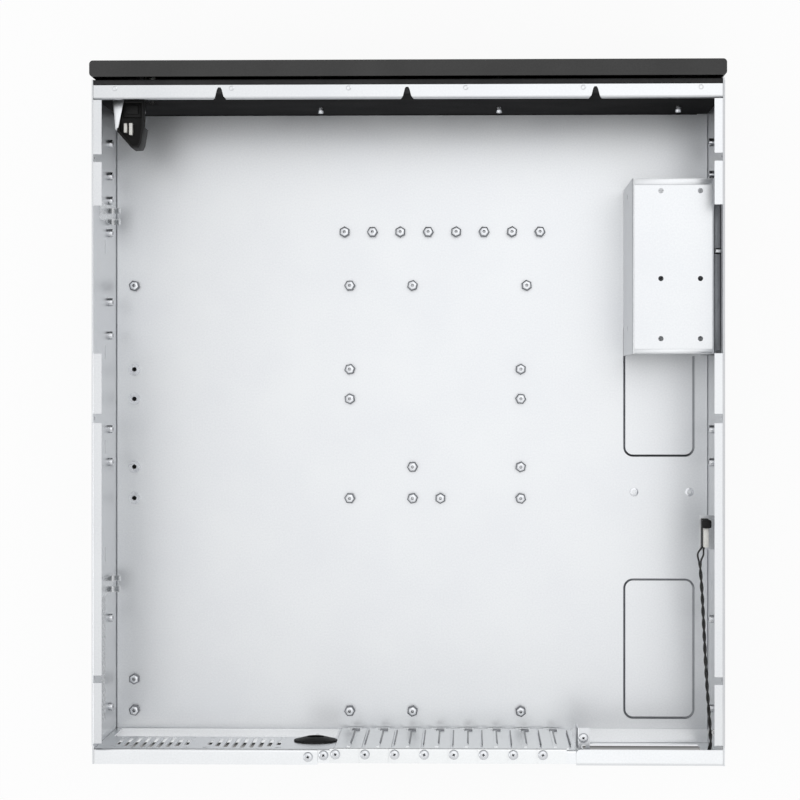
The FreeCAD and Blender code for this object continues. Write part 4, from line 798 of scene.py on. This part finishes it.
# %% Carrier of the controls
def prism(outline, low, high):
    """An upright prism over an outline of (x, y) points, all in mm."""
    clear_selection()
    bpy.ops.mesh.primitive_circle_add(vertices=len(outline), radius=1, fill_type="NGON")
    piece = bpy.context.object
    for vertex, (x, y) in zip(piece.data.vertices, outline):
        vertex.co = (x * MM, y * MM, low * MM)
    bpy.ops.object.mode_set(mode="EDIT")
    bpy.ops.mesh.select_all(action="SELECT")
    bpy.ops.mesh.extrude_region_move(
        TRANSFORM_OT_translate={"value": (0, 0, (high - low) * MM)})
    bpy.ops.mesh.select_all(action="SELECT")
    bpy.ops.mesh.normals_make_consistent(inside=False)
    leave_edit()
    return piece


CARRIER_LOW, CARRIER_TOP, CARRIER_WALL, WELL_DEPTH = 88.0, 113.5, 1.5, 7.0
carrier = prism([(198.6, -215.6), (182.0, -215.6), (182.0, -197.6), (183.9, -186.4),
                 (185.4, -183.4), (190.6, -183.2), (200.4, -194.4)], CARRIER_LOW, CARRIER_TOP)
edit_faces(carrier, lambda centre, normal: normal.z > 0.9)
bpy.ops.mesh.inset(thickness=CARRIER_WALL * MM, depth=0)
bpy.ops.mesh.extrude_region_move(TRANSFORM_OT_translate={"value": (0, 0, -WELL_DEPTH * MM)})
leave_edit()
carrier.data.materials.append(black_plastic)
space = block((180.0, -217.0, 60.0), (197.0, -197.8, 105.0))
space.data.materials.append(black_plastic)
cut(carrier, space)
round_off(carrier, 0.4)
carrier = settle("control_module_carrier", [carrier], black_plastic)
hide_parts("module_housing")

# %% [markdown]
# ## What the carrier holds
# Two pale ribs and the black header of the cables stand in the carrier's well, and the small
# board stands on edge below it. They are strips with rounded edges, as moulded parts have.
# The steel plate over the carrier and its wing along the wall are prisms over a tapered
# outline, because both run slantwise.

# %% Ribs, header and board
RIB_LOW = 106.3  # just under the floor of the well, so that the parts stand in it
ribs = strips([((193.8, -200.2, RIB_LOW), (195.9, -193.8, 112.6)),
               ((190.0, -200.4, RIB_LOW), (192.3, -192.2, 112.6))], radius=0.4)
settle("control_module_ribs", ribs, white_nylon)
header = strips([((184.0, -214.0, RIB_LOW), (196.5, -204.5, 109.8)),
                 ((186.0, -212.6, 109.6), (194.5, -206.4, 111.6))], radius=0.5)
settle("control_module_header", header, black_plastic)
board = strips([((187.0, -199.6, 72.0), (196.4, -198.2, 104.6))])
board = settle("control_module_board", board, board_mask)
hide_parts("control_board")

# %% Steel plate and wing
WING_LOW, PLATE_LOW, PLATE_TOP = 96.0, 113.6, 114.8
plate = prism([(203.4, -217.2), (195.2, -217.2), (199.3, -197.0), (201.6, -195.4)],
              PLATE_LOW, PLATE_TOP)
wing = prism([(203.4, -217.2), (202.2, -217.2), (200.4, -195.4), (201.6, -195.4)],
             WING_LOW, PLATE_LOW)
for part in (plate, wing):
    round_off(part, FOLD_RADIUS)
bracket = settle("control_module_plate", [plate, wing], zinc_sheet)
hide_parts("module_bracket")

# %% [markdown]
# ## Sockets and lamps
# Two sockets open in the front panel. Each is a folded nickel shell, hollow at the mouth, with
# a pale tongue in its upper half. Two milky rods with domed ends carry the light of the lamps
# on the board to the panel's face.

# %% Sockets
SOCKET_X, SOCKET_HALF_WIDTH, SOCKET_HALF_HEIGHT, SHELL = 184.25, 6.5, 2.75, 0.6
SHELL_FRONT, SHELL_REAR, MOUTH_END = -240.6, -218.2, -224.0
sockets = []
for z in (68.6, 78.6):
    half_x, half_z = SOCKET_HALF_WIDTH, SOCKET_HALF_HEIGHT
    shell = block((SOCKET_X - half_x, SHELL_FRONT, z - half_z),
                  (SOCKET_X + half_x, SHELL_REAR, z + half_z))
    shell.data.materials.append(nickel_shell)
    round_off(shell, 0.5)
    half_x, half_z = half_x - SHELL, half_z - SHELL
    mouth = block((SOCKET_X - half_x, SHELL_FRONT - 1, z - half_z),
                  (SOCKET_X + half_x, MOUTH_END, z + half_z))
    # the faces that the mouth cuts take the dark zinc: painted shade inside the socket
    mouth.data.materials.append(shaded_zinc)
    cut(shell, mouth)
    tongue = block((179.2, SHELL_FRONT + 1, z + 0.1), (189.3, MOUTH_END + 0.5, z + 1.6))
    tongue.data.materials.append(white_nylon)
    round_off(tongue, 0.2)
    sockets += [shell, tongue]
sockets = settle("front_usb_sockets", sockets, None)
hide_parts("usb_sockets")

# %% Lamp rods
ROD_RADIUS, ROD_LENGTH, ROD_DOME = 1.45, 22.6, 0.8


def lamp_rod():
    rod = drum(ROD_RADIUS, 0, ROD_LENGTH, 24)
    edit_faces(rod, lambda centre, normal: normal.z > 0.9)
    bpy.ops.mesh.bevel(offset=ROD_DOME * MM, segments=4, affect="EDGES")
    leave_edit()
    return rod


places = [((178.6, -218.0, z), turned(90, "X")) for z in (86.0, 92.0)]
rods = settle("front_lamp_rods", copies(lamp_rod(), places), lens_plastic)
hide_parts("led_lenses")

# %% [markdown]
# ## Cover switch
# A small switch on the wall tells the machine that its lid is off. Its lower half is black,
# its upper half white, and a black cap rides on top. The cap is a part of its own, because
# the lid presses it down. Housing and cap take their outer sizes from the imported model, so
# they stay where the motion expects them.

# %% Switch housing
BASE_TOP, CROWN_INSET, CROWN_FRONT, OVERLAP = 105.0, 0.7, 78.6, 0.5
low, high = (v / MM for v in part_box("switch_body"))
base, crown = strips([(low, (high.x, high.y, BASE_TOP)),
                      ((low.x + CROWN_INSET, CROWN_FRONT, BASE_TOP - OVERLAP),
                       (high.x - CROWN_INSET, high.y - 0.2, high.z))], radius=0.5)
base.data.materials.append(black_plastic)
crown.data.materials.append(white_nylon)
body = settle("cover_switch_housing", [base, crown], None)
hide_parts("switch_body")

# %% Switch cap
CAP_LOW, CAP_EDGE = 108.3, 1.1
low, high = (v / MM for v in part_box("switch_plunger"))
cap = block((low.x, low.y, CAP_LOW), high)
stem = block((-206.0, 74.0, low.z), (-203.4, 77.4, CAP_LOW + FOLD_RADIUS))
round_off(cap, CAP_EDGE, segments=3)
round_off(stem, FOLD_RADIUS)
plunger = settle("cover_switch_cap", [cap, stem], black_plastic,
                 body="cover_switch")
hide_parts("switch_plunger")

# %% [markdown]
# ## Cable clip on the wall
# A white nylon clip guides the cable at the rear end of the wall. A flat strap reaches out
# from the wall under the cable, with a short hollow post over it. The post is a drum that
# another drum bores out, which leaves its floor closed.

# %% Cable clip on the wall
POST_RADIUS, POST_BORE, POST_LOW, POST_TOP, BORE_FLOOR = 2.3, 1.4, 100.0, 103.4, 101.2
post = drum(POST_RADIUS, POST_LOW, POST_TOP, 24)
bore = drum(POST_BORE, BORE_FLOOR, POST_TOP + 1.6, 20)
cut(post, bore)
strap = strips([((-215.7, 218.8, 98.2), (-206.6, 221.0, 99.4))])
clip = settle("wall_cable_clip", copies(post, [((-211.6, 219.9, 0), turned(0))]) + strap,
              white_nylon)
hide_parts("cable_clip_wall")

# %% [markdown]
# ## Floor
# The floor is a large pale sheet. To the camera and in mirror-like metal it is mostly plain
# white, as a studio sweep is, with a little real shading left so that the case keeps its
# shadow. Under and close to the case it is painted dark grey, a painted shadow with its real
# shade unmixed, so the vents and holes stay dark.

# %% Which rays see the background
def background_rays(tree):
    """1 for camera, glossy and transmission rays, which see the pale background, else 0."""
    path = add(tree, "ShaderNodeLightPath")
    rays = path.outputs["Is Camera Ray"]
    for kind in ("Is Glossy Ray", "Is Transmission Ray"):
        rays = add(tree, "ShaderNodeMath", {0: rays, 1: path.outputs[kind]},
                   operation="MAXIMUM").outputs[0]
    return rays


# %% Floor
SHADE_HALF_WIDTH, SHADE_HALF_DEPTH, SHADE_FADE = 0.217, 0.2425, 0.012
PLAIN_WHITE_SHARE = 0.9
clear_selection()
bpy.ops.mesh.primitive_plane_add(size=8, location=(0, 0, -0.0004))
floor = bpy.context.object
floor.name = "studio_floor"
floor_material, tree, place = start_material("pale_floor")
away = add(tree, "ShaderNodeVectorMath", {0: place}, operation="ABSOLUTE").outputs[0]
apart = add(tree, "ShaderNodeSeparateXYZ", {"Vector": away})
edges = [add(tree, "ShaderNodeMapRange", {
    "Value": apart.outputs[axis], "From Min": near,
    "From Max": near + SHADE_FADE}).outputs["Result"]
    for axis, near in (("X", SHADE_HALF_WIDTH), ("Y", SHADE_HALF_DEPTH))]
outside = add(tree, "ShaderNodeMath", {0: edges[0], 1: edges[1]}, operation="MAXIMUM").outputs[0]
# under and close to the case the floor is painted dark grey: a painted shadow that fades out over
# SHADE_FADE
shade = add(tree, "ShaderNodeMix", {0: outside, 6: linear("4A4A4A"), 7: linear("F4F4F4")},
            data_type="RGBA").outputs[2]
diffuse = add(tree, "ShaderNodeBsdfDiffuse", {"Color": shade})
glow = add(tree, "ShaderNodeEmission", {"Color": (1, 1, 1, 1), "Strength": 1.0})
seen = add(tree, "ShaderNodeMath", {0: background_rays(tree), 1: outside}, operation="MULTIPLY")
share = add(tree, "ShaderNodeMath", {0: seen.outputs[0], 1: PLAIN_WHITE_SHARE},
            operation="MULTIPLY")
mixed = add(tree, "ShaderNodeMixShader", {
    0: share.outputs[0], 1: diffuse.outputs[0], 2: glow.outputs[0]})
add(tree, "ShaderNodeOutputMaterial", {"Surface": mixed.outputs[0]})
floor.data.materials.append(floor_material)

# %% [markdown]
# ## Lamps
# A broad lamp hangs above the case and a weaker strip in front of it, so the base plate runs
# from bright near the front to soft grey at the rear corner. A third lamp far out to the side
# draws the edges of the folds. All three are soft rectangles, as studio light boxes are.

# %% Lamps
def lamp(name, place, aim, size, power):
    """A soft rectangular lamp that points at a place on the case."""
    data = bpy.data.lights.new(name, "AREA")
    data.shape = "RECTANGLE"
    data.size, data.size_y = size
    data.energy = power
    light = bpy.data.objects.new(name, data)
    light.location = place
    light.rotation_euler = (Vector(aim) - Vector(place)).to_track_quat("-Z", "Y").to_euler()
    bpy.context.scene.collection.objects.link(light)
    print(name, power, "W")


lamp("broad_lamp", (-0.35, -0.45, 2.3), (-0.2, -0.15, 0), (1.2, 2.2), 4.7)
lamp("front_strip_lamp", (-0.1, -0.65, 2.2), (-0.05, -0.2, 0), (1.8, 0.5), 0.6)
lamp("side_lamp", (1.9, 0.3, 1.5), (0, 0, 0.05), (1.0, 1.0), 5)

# %% [markdown]
# ## World and colour management
# The camera and mirror-like metal see a plain white world. The light that it gives to matt
# surfaces is brightest overhead and fades towards the horizon, so folds and edges show.

# %% World
HORIZON, OVERHEAD = 0.3, 0.95
world = bpy.data.worlds.new("studio")
world.use_nodes = True
bpy.context.scene.world = world
tree = world.node_tree
tree.nodes.clear()
direction = add(tree, "ShaderNodeTexCoord").outputs["Generated"]
height = add(tree, "ShaderNodeSeparateXYZ", {"Vector": direction}).outputs["Z"]
gradient = add(tree, "ShaderNodeMapRange", {
    "Value": height, "From Min": 0.05, "From Max": 0.85, "To Min": HORIZON, "To Max": OVERHEAD},
    interpolation_type="SMOOTHSTEP").outputs["Result"]
strength = add(tree, "ShaderNodeMath", {0: gradient, 1: background_rays(tree)},
               operation="MAXIMUM").outputs[0]
sky = add(tree, "ShaderNodeBackground", {"Color": (1, 1, 1, 1), "Strength": strength})
add(tree, "ShaderNodeOutputWorld", {"Surface": sky.outputs[0]})
bpy.context.scene.view_settings.view_transform = "Standard"
